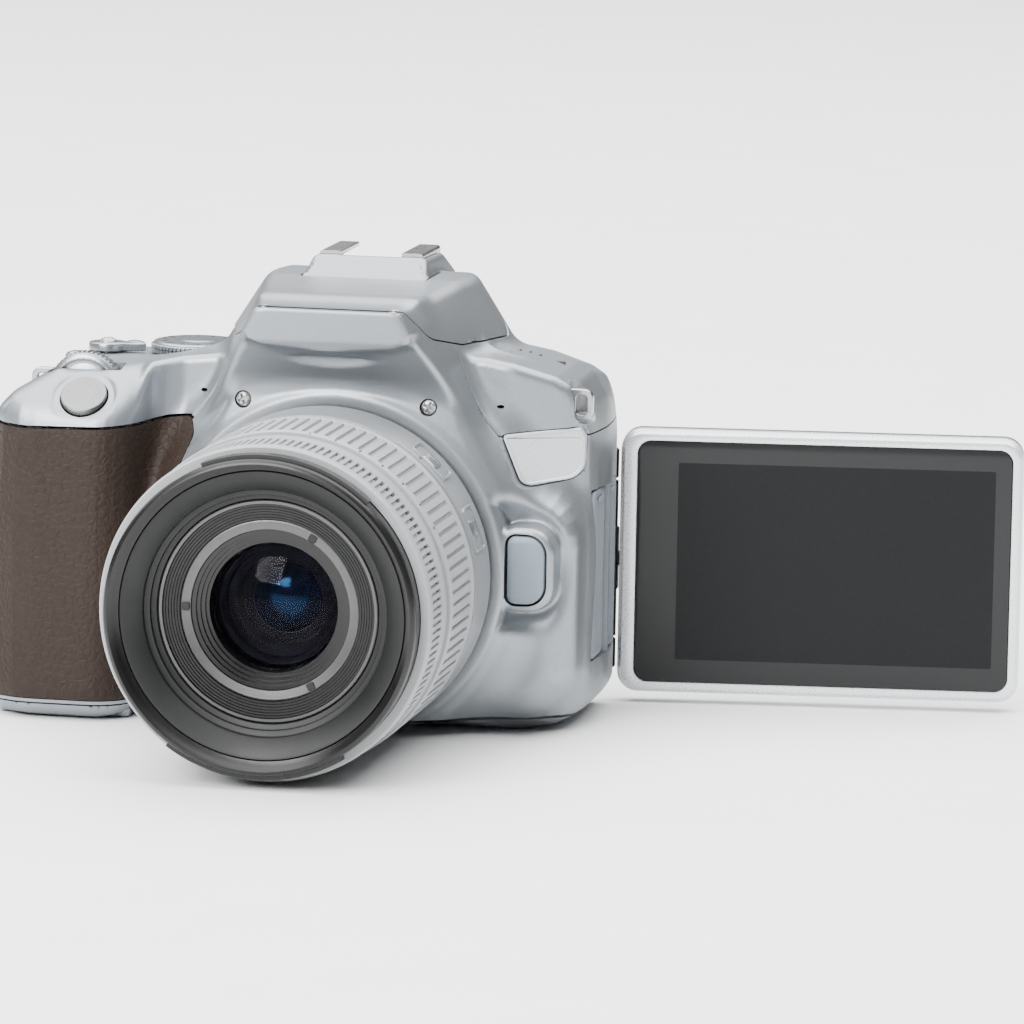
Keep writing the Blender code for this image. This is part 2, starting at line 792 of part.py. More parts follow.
def make_screen_recess(rear, base):
    """The shallow well behind the folded screen, and the knuckles of its hinge."""
    x, y = HINGE_AT
    low_z, high_z = SCREEN_Z - SCREEN_H / 2 - 0.6, SCREEN_Z + SCREEN_H / 2 + 0.6
    far = x - SCREEN_START - SCREEN_W - 0.6
    well = block("well", (far, RECESS_Y, low_z), (RIGHT + OVER, 30, high_z))
    cut(rear, copy_of(well, "well"))
    cut(base, well)
    notch_low, notch_high = SCREEN_Z - 16.0, SCREEN_Z + 16.0
    cut(rear, block("notch", (x - 3.2, 7.2, notch_low), (RIGHT + OVER, 30, notch_high)))
    for low, high in ((notch_low - 7, notch_low - 0.4), (notch_high + 0.4, notch_high + 7)):
        knuckle = rod("knuckle", (x, y, low), (0, 0, 1), KNUCKLE_R, high - low, 20)
        arm = block("arm", (x - 2.0, 7.0, low), (x + 2.0, y, high))
        join(rear, join(knuckle, arm))
    cut(rear, rod("pin hole", (x, y, notch_low - 6), (0, 0, 1), PIN_R + GAP, 44, 16))
    pin_low = notch_low - 5.6
    rod("hinge_pin", (x, y, pin_low), (0, 0, 1), PIN_R, 2 * (SCREEN_Z - pin_low), 16, "steel")


# ---- screen ---------------------------------------------------------------------------


def swing_out(obj):
    """Turns a piece built straight out from the hinge into its open place."""
    x, y = HINGE_AT
    centre = Matrix.Translation(Vector((x, y, 0)) * MM)
    turn = Matrix.Rotation(OPEN_SHORT, 4, "Z")
    obj.data.transform(centre @ turn @ centre.inverted())
    return obj


def make_screen():
    x, y = HINGE_AT
    near = x + SCREEN_START
    low_z, high_z = SCREEN_Z - SCREEN_H / 2, SCREEN_Z + SCREEN_H / 2
    half = SCREEN_T / 2

    def panel(name, inset, radius, low, high, finish):
        outline = rounded(
            [
                (near + inset, low_z + inset, radius),
                (near + SCREEN_W - inset, low_z + inset, radius),
                (near + SCREEN_W - inset, high_z - inset, radius),
                (near + inset, high_z - inset, radius),
            ],
            steps=4,
        )
        return prism(name, outline, "Y", low, high, finish)

    back = soften(panel("screen_back_shell", 0, 4.5, y - 0.4, y + half, "silver"), 1.4, 2, 60)
    bore_start = near - 1
    bore = rod("bore", (bore_start, y, SCREEN_Z), (1, 0, 0), PIVOT_R + GAP, 9.5, 20)
    cut(back, copy_of(bore, "bore"))
    frame = soften(
        panel("screen_front_frame", 0, 4.5, y - half, y - 0.7, "silver"), 0.9, 2, 60
    )
    left, rest = 3.4, 2.2
    glass_lows = (near + left, low_z + rest)
    glass_highs = (near + SCREEN_W - rest, high_z - rest)

    def window(grow):
        return rounded(
            [
                (glass_lows[0] - grow, glass_lows[1] - grow, 2.5),
                (glass_highs[0] + grow, glass_lows[1] - grow, 2.5),
                (glass_highs[0] + grow, glass_highs[1] + grow, 2.5),
                (glass_lows[0] - grow, glass_highs[1] + grow, 2.5),
            ],
            steps=3,
        )

    cut(frame, prism("window", window(0.15), "Y", y - 10, y - 1.7))
    cut(frame, bore)
    glass = prism("screen_glass", window(-0.15), "Y", y - half + 0.15, y - 2.0, "glass")
    low = SCREEN_Z - 15.9
    barrel = rod("screen_hinge", (x, y, low), (0, 0, 1), KNUCKLE_R, 31.8, 20, "black")
    cut(barrel, rod("hole", (x, y, 0), (0, 0, 1), PIN_R + GAP, 60, 16))
    stub = rod("stub", (x + 1.6, y, SCREEN_Z), (1, 0, 0), PIVOT_R, 8.5, 20)
    join(barrel, stub)
    for obj in (back, frame, glass, barrel):
        set_pivot(swing_out(obj), (x, y, SCREEN_Z))


# ---- inside ---------------------------------------------------------------------------


def make_inside():
    """The mirror box, the finder optics, the shutter, the sensor and the board."""
    box = block("mirror_box", (-20, -37.5, 13), (20, -5.0, 54.4), "black")
    cut(box, block("hollow", (-17, -45, 17), (17, 0, 51.2)))
    cut(box, block("light", (-14, -34, 40), (14, -9, 60)))
    mirror = block("reflex_mirror", (-15.5, -38.6, 47.6), (15.5, -9.6, 48.8), "glass")
    set_pivot(mirror, (0, *MIRROR_HINGE))
    mirror.rotation_euler.x = math.radians(45)
    block("focusing_screen", (-13.5, -33.6, 54.8), (13.5, -9.4, 56.0), "glass")
    outline = [(-34, 56.6), (-8, 56.6), (-4, 62), (-4, 72.5), (-20, 79.5), (-36, 69)]
    prism("pentamirror", outline, "X", -12, 12, "black")
    block("shutter_unit", (-22, -4.4, 14), (22, -1.6, 54), "black")
    sensor = block("image_sensor", (-16, -1.2, 23), (16, 1.6, 45), "glass")
    soften(sensor, 0.4, 1, 60)
    block("main_board", (-40, 2.4, 8), (38, 3.8, 56), "board")


# ---- lens -----------------------------------------------------------------------------


def ribbed_ring(name, inner, outer, low, high, ribs, depth, finish):
    """A lens ring with ribs along it."""
    outline = []
    for k in range(ribs):
        for share, r in ((0.0, outer), (0.5, outer), (0.62, outer - depth), (0.88, outer - depth)):
            angle = 2 * math.pi * (k + share) / ribs
            outline.append((r * math.cos(angle), LENS_Z + r * math.sin(angle)))
    ring = prism(name, outline, "Y", low, high, finish)
    return cut(ring, rod("bore", (0, low - 1, LENS_Z), (0, 1, 0), inner, high - low + 2, 48))


def make_lens():
    """Fixed barrel, zoom ring, sliding front barrel, focus ring and glass."""
    turned(
        "lens_barrel",
        [
            (26.5, FLANGE + 3.4),
            (26.5, FLANGE - 0.3),
            (30.8, FLANGE - 0.3),
            (BARREL_R, FLANGE - 2.5),
            (BARREL_R, -62.2),
            (29.6, -62.2),
            (29.6, -84.5),
            (27.8, -84.5),
            (27.8, -50),
            (22.5, -50),
            (22.5, FLANGE + 3.4),
        ],
        48,
        "pale",
    )
    zoom = ribbed_ring("zoom_ring", 29.9, BARREL_R, -84.5, -62.5, 48, 0.5, "pale")
    turned(
        "front_barrel",
        [
            (26.0, -56.0),
            (27.4, -56.0),
            (27.4, -84.9),
            (30.2, -84.9),
            (30.2, -100.9),
            (31.4, -101.2),
            (31.4, LENS_FRONT + 0.8),
            (30.6, LENS_FRONT),
            (29.4, LENS_FRONT),
            (29.2, -103.0),
            (28.2, -102.4),
            (28.2, -98.0),
            (26.0, -98.0),
        ],
        48,
        "black",
    )
    focus = ribbed_ring("focus_ring", 30.5, 32.4, -100.7, -85.2, 60, 0.45, "pale")
    for ring in (zoom, focus):
        set_pivot(ring, (0, 0, LENS_Z))
    turned(
        "name_ring",
        [
            (27.9, -102.2),
            (27.9, -100.6),
            (22.0, -97.4),
            (19.4, -88.6),
            (17.6, -88.6),
            (17.6, -90.0),
            (18.4, -90.0),
            (20.8, -99.2),
        ],
        48,
        "black",
    )
    turned(
        "front_element",
        [(0, -93.6), (8, -93.0), (14, -91.4), (17.2, -89.7), (17.2, -86.0), (0, -86.0)],
        32,
        "glass",
    )
    turned(
        "rear_element",
        [(0, -47.6), (9, -47.6), (9, -44.2), (5, -43.4), (0, -43.2)],
        24,
        "glass",
    )
    make_lens_switches()


def make_lens_switches():
    """Two sliding switches on the fixed barrel, facing up and to the left-hand side."""
    barrel = bpy.data.objects["lens_barrel"]
    for name, degrees in (("focus_mode_switch", 47.0), ("stabiliser_switch", 20.0)):
        angle = math.radians(degrees)
        out = Vector((math.cos(angle), 0, math.sin(angle)))
        turn = Matrix.Translation(Vector((0, 0, LENS_Z)) * MM) @ Matrix.Rotation(
            -angle, 4, "Y"
        )
        seat = block("seat", (BARREL_R - 1.3, -58.6, -4.4), (BARREL_R + 5, -51.4, 4.4))
        seat.data.transform(turn)
        cut(barrel, seat)
        key = block(name, (BARREL_R - 1.0, -58.2, -2.2), (BARREL_R + 0.5, -51.8, 2.2), "pale")
        key = soften(key, 0.3, 1, 60)
        key.data.transform(turn)


def make_leather(front):
    """The grip's leather, sunk in the cover it wraps."""
    low, high = 4.4, TOP_SPLIT - 0.5
    skin = prism("grip_leather", grip_plan(), "Z", low, high, "leather")
    cut(skin, prism("inside", grip_plan(1.3), "Z", 0, 70))
    cut(skin, block("back", (-90, -12, 0), (0, 0, 70)))
    cut(skin, block("side", (-33, -60, 0), (0, 0, 70)))
    seat = prism("seat", grip_plan(-OVER), "Z", low - GAP, high + OVER)
    cut(seat, prism("inside", grip_plan(1.3 + GAP), "Z", 0, 70))
    cut(seat, block("back", (-90, -12 + GAP, 0), (0, 0, 70)))
    cut(seat, block("side", (-33 + GAP, -60, 0), (0, 0, 70)))
    cut(front, seat)


def build():
    clear_scene()
    set_up_looks()
    front, base, rear, top = make_covers()
    make_shutter_button(top)
    make_dials(top)
    make_top_buttons(top)
    make_rear_buttons(rear, top)
    make_release_button(front)
    make_mount(front)
    make_badge(front)
    make_screws(front)
    make_hot_shoe(top)
    make_strap_lugs(top)
    make_viewfinder(top)
    make_base(base)
    make_jack_covers(front)
    make_leather(front)
    make_screen_recess(rear, base)
    make_screen()
    make_inside()
    make_lens()
    for obj in bpy.data.objects:
        obj.data.shade_smooth()
        obj.data.set_sharp_from_angle(angle=math.radians(30))


build()
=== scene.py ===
import math

import bmesh
import bpy
import numpy as np
from mathutils import Matrix, Vector


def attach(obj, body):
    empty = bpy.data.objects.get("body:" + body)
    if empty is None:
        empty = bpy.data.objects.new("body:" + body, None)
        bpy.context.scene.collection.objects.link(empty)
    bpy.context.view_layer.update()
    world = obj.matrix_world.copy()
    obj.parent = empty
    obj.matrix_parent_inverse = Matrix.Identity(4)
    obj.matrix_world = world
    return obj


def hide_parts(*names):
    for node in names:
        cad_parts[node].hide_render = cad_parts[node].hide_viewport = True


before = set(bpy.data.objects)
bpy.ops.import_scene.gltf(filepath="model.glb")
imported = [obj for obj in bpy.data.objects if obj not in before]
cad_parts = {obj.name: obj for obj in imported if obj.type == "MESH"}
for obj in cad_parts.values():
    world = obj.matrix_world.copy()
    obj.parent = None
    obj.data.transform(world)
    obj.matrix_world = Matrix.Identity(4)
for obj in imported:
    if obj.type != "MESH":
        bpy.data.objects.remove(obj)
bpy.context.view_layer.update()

MM = 0.001

# Places and sizes in millimetres: x runs from LEFT to RIGHT, y from the lens to the back, z up.
LEFT, RIGHT = -73.4, 49.8
LENS_Z = 33.35
BASE_SPLIT, TOP_SPLIT, REAR_SPLIT = 3.4, 59.6, 5.0
CROWN_BACK = -33.6
WALL = 1.8  # thickness of the covers
LINING = 1.3  # thickness of the wall round a hole
SEAM = 0.16  # half the gap at a joint between covers
CELL = 0.42  # grid step of the sculpted covers
FACES_KEPT = 0.3  # share of their faces that thinning leaves
SHUTTER_AT = Vector((-51.4, -40.6, 65.2))
SHUTTER_LEAN = math.radians(41)
SHUTTER_WAY = (0, -math.sin(SHUTTER_LEAN), math.cos(SHUTTER_LEAN))
MAIN_DIAL_AT = (-53.2, -31.4, 65.3)
MODE_DIAL_AT = (-35.3, -11.5)
MODE_DIAL_SEAT = 70.6
SWITCH_AT = (-53.6, -13.0)
TOP_KEYS = {"iso": (-57.5, -22.5), "display": (-50.5, -3.5)}
REAR_FACE = 13
# Each rear key's name, place across and up, and radius: four in the top cover, then three below.
REAR_KEYS = (
    ("menu", -30.0, 64.5, 2.3), ("info", -22.0, 64.5, 2.3), ("live_view", 22.5, 64.5, 2.6),
    ("exposure_lock", -56.0, 64.0, 2.0), ("aperture", -50.0, 50.0, 2.4), ("playback", -50.0, 16.0, 2.4),
    ("erase", -64.0, 16.0, 2.4),
)
CROSS_AT = (-58.0, 33.0)
DIOPTRE_AT = (17.4, REAR_FACE, 81)
SCREW_X, SCREW_Z = 18.7, 66.0
TRIPOD_AT = (0, -16, 0)
DECK = 70.4
RELEASE_AT = (38.8, 34.5)
HINGE_AT = (44.6, 12.4)
SCREEN_Z = 29.2
SCREEN_TURN = math.radians(7)  # the open screen's yaw about its hinge
BACK, UP = (0, 1, 0), (0, 0, 1)
KNURL = [(0.0, 0), (0.4, 0), (0.55, 1), (0.85, 1)]  # one tooth of a dial's rim, and its gap


# ---- materials ------------------------------------------------------------------------


class Nodes:
    """A material under construction."""

    def __init__(self, name):
        self.mat = bpy.data.materials.new(name)
        self.mat.use_nodes = True
        self.tree = self.mat.node_tree
        self.tree.nodes.clear()
        self.out = self.add("ShaderNodeOutputMaterial")
        self.bsdf = self.add("ShaderNodeBsdfPrincipled")
        self.link(self.bsdf.outputs[0], self.out.inputs["Surface"])
        self.place = self.add("ShaderNodeTexCoord").outputs["Object"]

    def add(self, kind, **settings):
        node = self.tree.nodes.new(kind)
        for key, value in settings.items():
            setattr(node, key, value)
        return node

    def link(self, a, b):
        self.tree.links.new(a, b)

    def set(self, **values):
        for key, value in values.items():
            self.bsdf.inputs[key.replace("_", " ")].default_value = value
        return self

    def stretched(self, scale):
        """Object coordinates scaled by an amount per axis."""
        node = self.add("ShaderNodeMapping")
        node.inputs["Scale"].default_value = scale
        self.link(self.place, node.inputs["Vector"])
        return node.outputs[0]

    def noise(self, scale, detail=3.0, at=None):
        node = self.add("ShaderNodeTexNoise")
        node.inputs["Scale"].default_value = scale
        node.inputs["Detail"].default_value = detail
        node.inputs["Roughness"].default_value = 0.55
        self.link(at or self.place, node.inputs["Vector"])
        return node.outputs["Fac"]

    def cells(self, scale, feature="F1", output="Distance", at=None):
        node = self.add("ShaderNodeTexVoronoi", feature=feature)
        node.inputs["Scale"].default_value = scale
        self.link(at or self.place, node.inputs["Vector"])
        return node.outputs[output]

    def ramp(self, fac, stops):
        node = self.add("ShaderNodeValToRGB")
        elements = node.color_ramp.elements
        while len(elements) < len(stops):
            elements.new(0.5)
        for element, (at, colour) in zip(elements, stops):
            element.position = at
            element.color = (*colour, 1)
        self.link(fac, node.inputs[0])
        return node.outputs[0]

    def span(self, fac, low, high, a=0.0, b=1.0):
        """Maps a value from one range to another."""
        node = self.add("ShaderNodeMapRange")
        for key, value in (("From Min", a), ("From Max", b), ("To Min", low), ("To Max", high)):
            node.inputs[key].default_value = value
        self.link(fac, node.inputs["Value"])
        return node.outputs[0]

    def math(self, operation, a, b):
        node = self.add("ShaderNodeMath", operation=operation)
        for socket, value in zip(node.inputs, (a, b)):
            if isinstance(value, (int, float)):
                socket.default_value = value
            else:
                self.link(value, socket)
        return node.outputs[0]

    def greys(self, fac, low, high, warm=0.0, start=0.3, stop=0.7):
        """Colours the surface between two greys."""
        return self.colour(self.ramp(fac, [(start, grey(low, warm)), (stop, grey(high, warm))]))

    def rough(self, value):
        self.link(value, self.bsdf.inputs["Roughness"])
        return self

    def colour(self, value):
        self.link(value, self.bsdf.inputs["Base Color"])
        return self

    def bump(self, height, depth):
        """Adds relief, depth being its full height in millimetres."""
        node = self.add("ShaderNodeBump")
        node.inputs["Strength"].default_value = 1.0
        node.inputs["Distance"].default_value = depth * MM
        self.link(height, node.inputs["Height"])
        old = self.bsdf.inputs["Normal"]
        if old.is_linked:
            self.link(old.links[0].from_socket, node.inputs["Normal"])
        self.link(node.outputs[0], old)
        return self


def grey(value, warm=0.0):
    """A grey, tinted towards red where warm is above 0 and towards blue below it."""
    return (value * (1 + warm), value, value * (1 - warm))


def paint(name, tone, metal, rough, speckle=0.06, warm=-0.07, grain=0.012):
    """Painted plastic whose lacquer holds fine metal flakes."""
    n = Nodes(name)
    flakes = n.cells(5200, output="Color")
    fine = n.noise(2600, 2)
    broad = n.noise(38, 3)
    mixed = n.math("ADD", n.math("MULTIPLY", flakes, 0.5), n.math("MULTIPLY", fine, 0.5))
    mixed = n.math("ADD", mixed, n.math("MULTIPLY", broad, 0.12))
    low, high = tone * (1 - speckle), tone * (1 + speckle)
    n.greys(mixed, low, high, warm, stop=0.8)
    n.rough(n.span(fine, rough - 0.05, rough + 0.05, 0.3, 0.7))
    n.bump(fine, grain)
    return n.set(Metallic=metal, Coat_Weight=0.06, Coat_Roughness=0.3).mat


def plastic(name, tone, rough, warm=0.0, grain=0.02, scale=1500, coat=0.0, spread=0.12):
    """Moulded plastic or rubber with an eroded, slightly uneven skin."""
    n = Nodes(name)
    fine = n.noise(scale, 3)
    broad = n.noise(60, 2)
    mixed = n.math("ADD", n.math("MULTIPLY", fine, 0.7), n.math("MULTIPLY", broad, 0.3))
    low, high = tone * (1 - spread), tone * (1 + spread)
    n.greys(mixed, low, high, warm, 0.35)
    n.rough(n.span(broad, rough - 0.06, rough + 0.06, 0.3, 0.7))
    n.bump(fine, grain)
    return n.set(Coat_Weight=coat, Coat_Roughness=0.12, Specular_IOR_Level=0.32).mat


def leather_material():
    """Brown leatherette: shallow pebbles, with creases between them, and a soft sheen."""
    n = Nodes("leatherette")
    warp = n.noise(420, 3)
    pebble = n.cells(980, "SMOOTH_F1")
    crease = n.cells(640, "DISTANCE_TO_EDGE")
    fine = n.noise(3600, 3)
    broad = n.noise(45, 3)
    mixed = n.math("ADD", n.math("MULTIPLY", warp, 0.5), n.math("MULTIPLY", broad, 0.5))
    n.colour(n.ramp(mixed, [(0.3, (0.0155, 0.0088, 0.0058)), (0.52, (0.0185, 0.0108, 0.0073)),
        (0.75, (0.0225, 0.0136, 0.0094))]))
    n.rough(n.span(fine, 0.5, 0.66, 0.3, 0.7))
    n.bump(n.span(crease, 0, 1, 0.0, 0.16), 0.07)
    n.bump(pebble, 0.12)
    n.bump(fine, 0.012)
    return n.set(Sheen_Weight=0.02, Sheen_Roughness=0.5, Specular_IOR_Level=0.22).mat


def metal(name, tone, rough, grain):
    """Bare or plated metal with a fine, even grain."""
    n = Nodes(name)
    lines = n.noise(1300, 3)
    broad = n.noise(70, 3)
    n.greys(lines, tone * 0.88, tone * 1.06)
    n.rough(n.span(n.math("MULTIPLY", lines, broad), rough - 0.05, rough + 0.06, 0.1, 0.45))
    n.bump(lines, grain)
    return n.set(Metallic=1.0).mat


def spun_material(name, centre, axis, tone, rough, rings):
    """Metal turned on a lathe, with rings round a point, seen along an axis."""
    n = Nodes(name)
    shift = n.add("ShaderNodeVectorMath", operation="SUBTRACT")
    shift.inputs[1].default_value = tuple(c * MM for c in centre)
    n.link(n.place, shift.inputs[0])
    cross = n.add("ShaderNodeVectorMath", operation="CROSS_PRODUCT")
    cross.inputs[1].default_value = tuple(axis)
    n.link(shift.outputs[0], cross.inputs[0])
    length = n.add("ShaderNodeVectorMath", operation="LENGTH")
    n.link(cross.outputs[0], length.inputs[0])
    wave = n.add("ShaderNodeTexNoise", noise_dimensions="1D")
    wave.inputs["Scale"].default_value = rings
    wave.inputs["Detail"].default_value = 3
    n.link(length.outputs["Value"], wave.inputs["W"])
    rough_spot = n.noise(900, 2)
    n.greys(wave.outputs["Fac"], tone * 0.86, tone * 1.08)
    n.rough(n.span(rough_spot, rough - 0.04, rough + 0.05, 0.3, 0.7))
    n.bump(wave.outputs["Fac"], 0.02)
    return n.set(Metallic=1.0, Anisotropic=0.5).mat


def glass_material(name, tint):
    """Dark glass: a deep tint under a polished, faintly smeared surface."""
    n = Nodes(name)
    smear = n.noise(24, 4)
    n.colour(n.ramp(smear, [(0.3, tuple(c * 0.8 for c in tint)), (0.8, tuple(c * 1.2 for c in tint))]))
    n.rough(n.span(smear, 0.03, 0.08, 0.3, 0.8))
    n.bump(n.noise(300, 2), 0.0015)
    return n.set(Coat_Weight=1.0, Coat_Roughness=0.03, Specular_IOR_Level=0.6).mat


# ---- solid shapes as distance fields --------------------------------------------------


def rounded(corners, steps=5):
    """Corner points (u, v, radius) as one outline, each corner an arc; inner corners too."""
    points = []
    count = len(corners)
    for i, (u, v, radius) in enumerate(corners):
        here = np.array((u, v), float)
        before = np.array(corners[i - 1][:2], float) - here
        after = np.array(corners[(i + 1) % count][:2], float) - here
        if radius <= 0:
            points.append((u, v))
            continue
        la, lb = np.linalg.norm(before), np.linalg.norm(after)
        da, db = before / la, after / lb
        half = math.acos(max(-1.0, min(1.0, float(da @ db)))) / 2
        reach = min(radius / math.tan(half), 0.49 * min(la, lb))
        radius = reach * math.tan(half)
        middle = (da + db) / np.linalg.norm(da + db)
        centre = here + middle * radius / math.sin(half)
        start, end = here + da * reach - centre, here + db * reach - centre
        a0 = math.atan2(start[1], start[0])
        turn = math.atan2(end[1], end[0]) - a0
        turn = (turn + math.pi) % (2 * math.pi) - math.pi
        for k in range(steps + 1):
            a = a0 + turn * k / steps
            points.append((centre[0] + radius * math.cos(a), centre[1] + radius * math.sin(a)))
    return points


def polygon(u, v, outline):
    """Signed distance to a closed outline, negative inside."""
    u, v = np.broadcast_arrays(np.float32(u), np.float32(v))
    near = np.full(u.shape, 1e9, np.float32)
    inside = np.zeros(u.shape, bool)
    count = len(outline)
    for i in range(count):
        (au, av), (bu, bv) = outline[i - 1], outline[i]
        eu, ev = bu - au, bv - av
        size = eu * eu + ev * ev
        if size < 1e-12:
            continue
        pu, pv = u - au, v - av
        t = np.clip((pu * eu + pv * ev) / size, 0, 1)
        near = np.minimum(near, (pu - t * eu) ** 2 + (pv - t * ev) ** 2)
        if av != bv:
            crossing = ((v >= av) != (v >= bv)) & (pu < eu * (pv / ev))
            inside ^= crossing
    near = np.sqrt(near)
    return np.where(inside, -near, near)


def both(a, b, k):
    """Smooth intersection."""
    h = np.maximum(k - np.abs(a - b), 0) / k
    return np.maximum(a, b) + h * h * (k / 4)


def either(a, b, k):
    """Smooth union."""
    return -both(-a, -b, k)


def slab(d, t, low, high, r=0.0):
    """A flat field given thickness along t, its edges rounded by r."""
    b = np.abs(t - (low + high) / 2) - (high - low) / 2 + r
    a = d + r
    return np.minimum(np.maximum(a, b), 0) + np.hypot(np.maximum(a, 0), np.maximum(b, 0)) - r


def box(x, y, z, low, high, r=0.0):
    """A box between two corners, its edges rounded by r."""
    q = [np.abs(p - (a + b) / 2) - (b - a) / 2 + r for p, a, b in zip((x, y, z), low, high)]
    out = np.sqrt(sum(np.maximum(p, 0) ** 2 for p in q))
    return out + np.minimum(np.maximum(np.maximum(q[0], q[1]), q[2]), 0) - r


def tube(x, y, z, at, direction, radius, half):
    """A round bar centred on a point."""
    way = Vector(direction).normalized()
    px, py, pz = x - at[0], y - at[1], z - at[2]
    along = px * way.x + py * way.y + pz * way.z
    across = np.sqrt(np.maximum(px * px + py * py + pz * pz - along * along, 0))
    return np.maximum(across - radius, np.abs(along) - half)


def ramp(t, a, b):
    """A smooth step from 0 at a to 1 at b."""
    t = np.clip((t - a) / (b - a), 0, 1)
    return t * t * (3 - 2 * t)


# Outlines seen from the front, from above or from the side: corners, each with its radius.
BODY_OUTLINE = rounded([(-75.9, 0.2, 9.6), (52.3, 0.2, 15), (52.3, 50.2, 6), (49.6, 58.7, 4),
    (47.3, 64.6, 4), (44.6, 69.3, 3.4), (41.4, 71.3, 4), (33.7, 73.8, 0), (28, 74.8, 0), (-24, 73.7, 0),
    (-33.6, 72.6, 6), (-45, DECK, 14), (-58, DECK, 5), (-66.8, 65, 5), (-71.4, 59.4, 5), (-75.9, 48.6, 6)])
BODY_PLAN = rounded([(LEFT, -45.4, 13), (-44, -45.4, 9), (-38.2, -33.4, 7), (-33, -31.6, 5),
    (33.5, -31.2, 10), (47.4, -26.8, 8), (RIGHT + 0.3, -12, 24), (48.2, 4, 20), (45.8, 13, 4.5),
    (-70.6, 13, 7), (LEFT, -4, 20)])
TOWER = rounded([(-31, 30, 8), (33, 30, 8), (33.6, 44, 8), (29.6, 55, 10), (25.0, 66, 10), (17.6, 81, 3),
    (15.4, 86, 0), (-15.4, 86, 0), (-16.6, 81.6, 2), (-18.9, 77.6, 4), (-22.4, 66, 10), (-25.2, 58.6, 8),
    (-31, 44, 10)])
LOWER_PAD = rounded([(-20, 3.6, 8), (41, 3.6, 12), (47.6, 11, 8), (47.8, 46, 10), (30, 51, 10),
    (-20, 40, 4)])
BROW = rounded([(-16.9, 81.2, 0.8), (-14.5, 85.4, 0.8), (14.5, 85.4, 0.8), (16.9, 81.2, 0.8),
    (13.4, 78.4, 2.5), (0, 77.2, 20), (-13.4, 78.4, 2.5)], 4)
HUMP_SIDE = rounded([(-50.2, 79.5, 0), (-50.2, 85.2, 0), (-17, 88.2, 20), (-1, 88.2, 8), (13, 83.8, 3),
    (13, 60, 0), (-34, 60, 0), (-41, 69, 8), (-47.4, 78.2, 3)])
RELEASE = rounded([
    (RELEASE_AT[0] - 3.9, RELEASE_AT[1] - 6.9, 1.8), (RELEASE_AT[0] + 3.9, RELEASE_AT[1] - 6.9, 4.2),
    (RELEASE_AT[0] + 3.9, RELEASE_AT[1] + 6.9, 4.2), (RELEASE_AT[0] - 3.9, RELEASE_AT[1] + 6.9, 1.8),
], 7)
BADGE = rounded([(32.0, 60.0, 0.6), (46.4, 61.3, 0.9), (47.3, 59.4, 0.5), (47.3, 51.6, 3.6),
    (36.0, 49.6, 2.6)], 6)


def badge_plane(x, z):
    """How far the badge stands back from its upper left corner."""
    return 0.5 * (x - 32) + 0.08 * (z - 60)


def hump_half_width(y):
    """How far the prism housing reaches to each side, 80 mm up."""
    steps = np.arange(-60, 24, 0.5)
    width = np.interp(steps, [-60, -50, -35, -20, -10, -4, 0, 6, 13, 20],
                      [13.5, 16.8, 21.0, 24.6, 26.6, 26.2, 24.9, 22.6, 19.6, 17.5])
    soft = np.convolve(np.pad(width, 6, "edge"), np.ones(13) / 13, "valid")
    return np.interp(y, steps, soft).astype(np.float32)


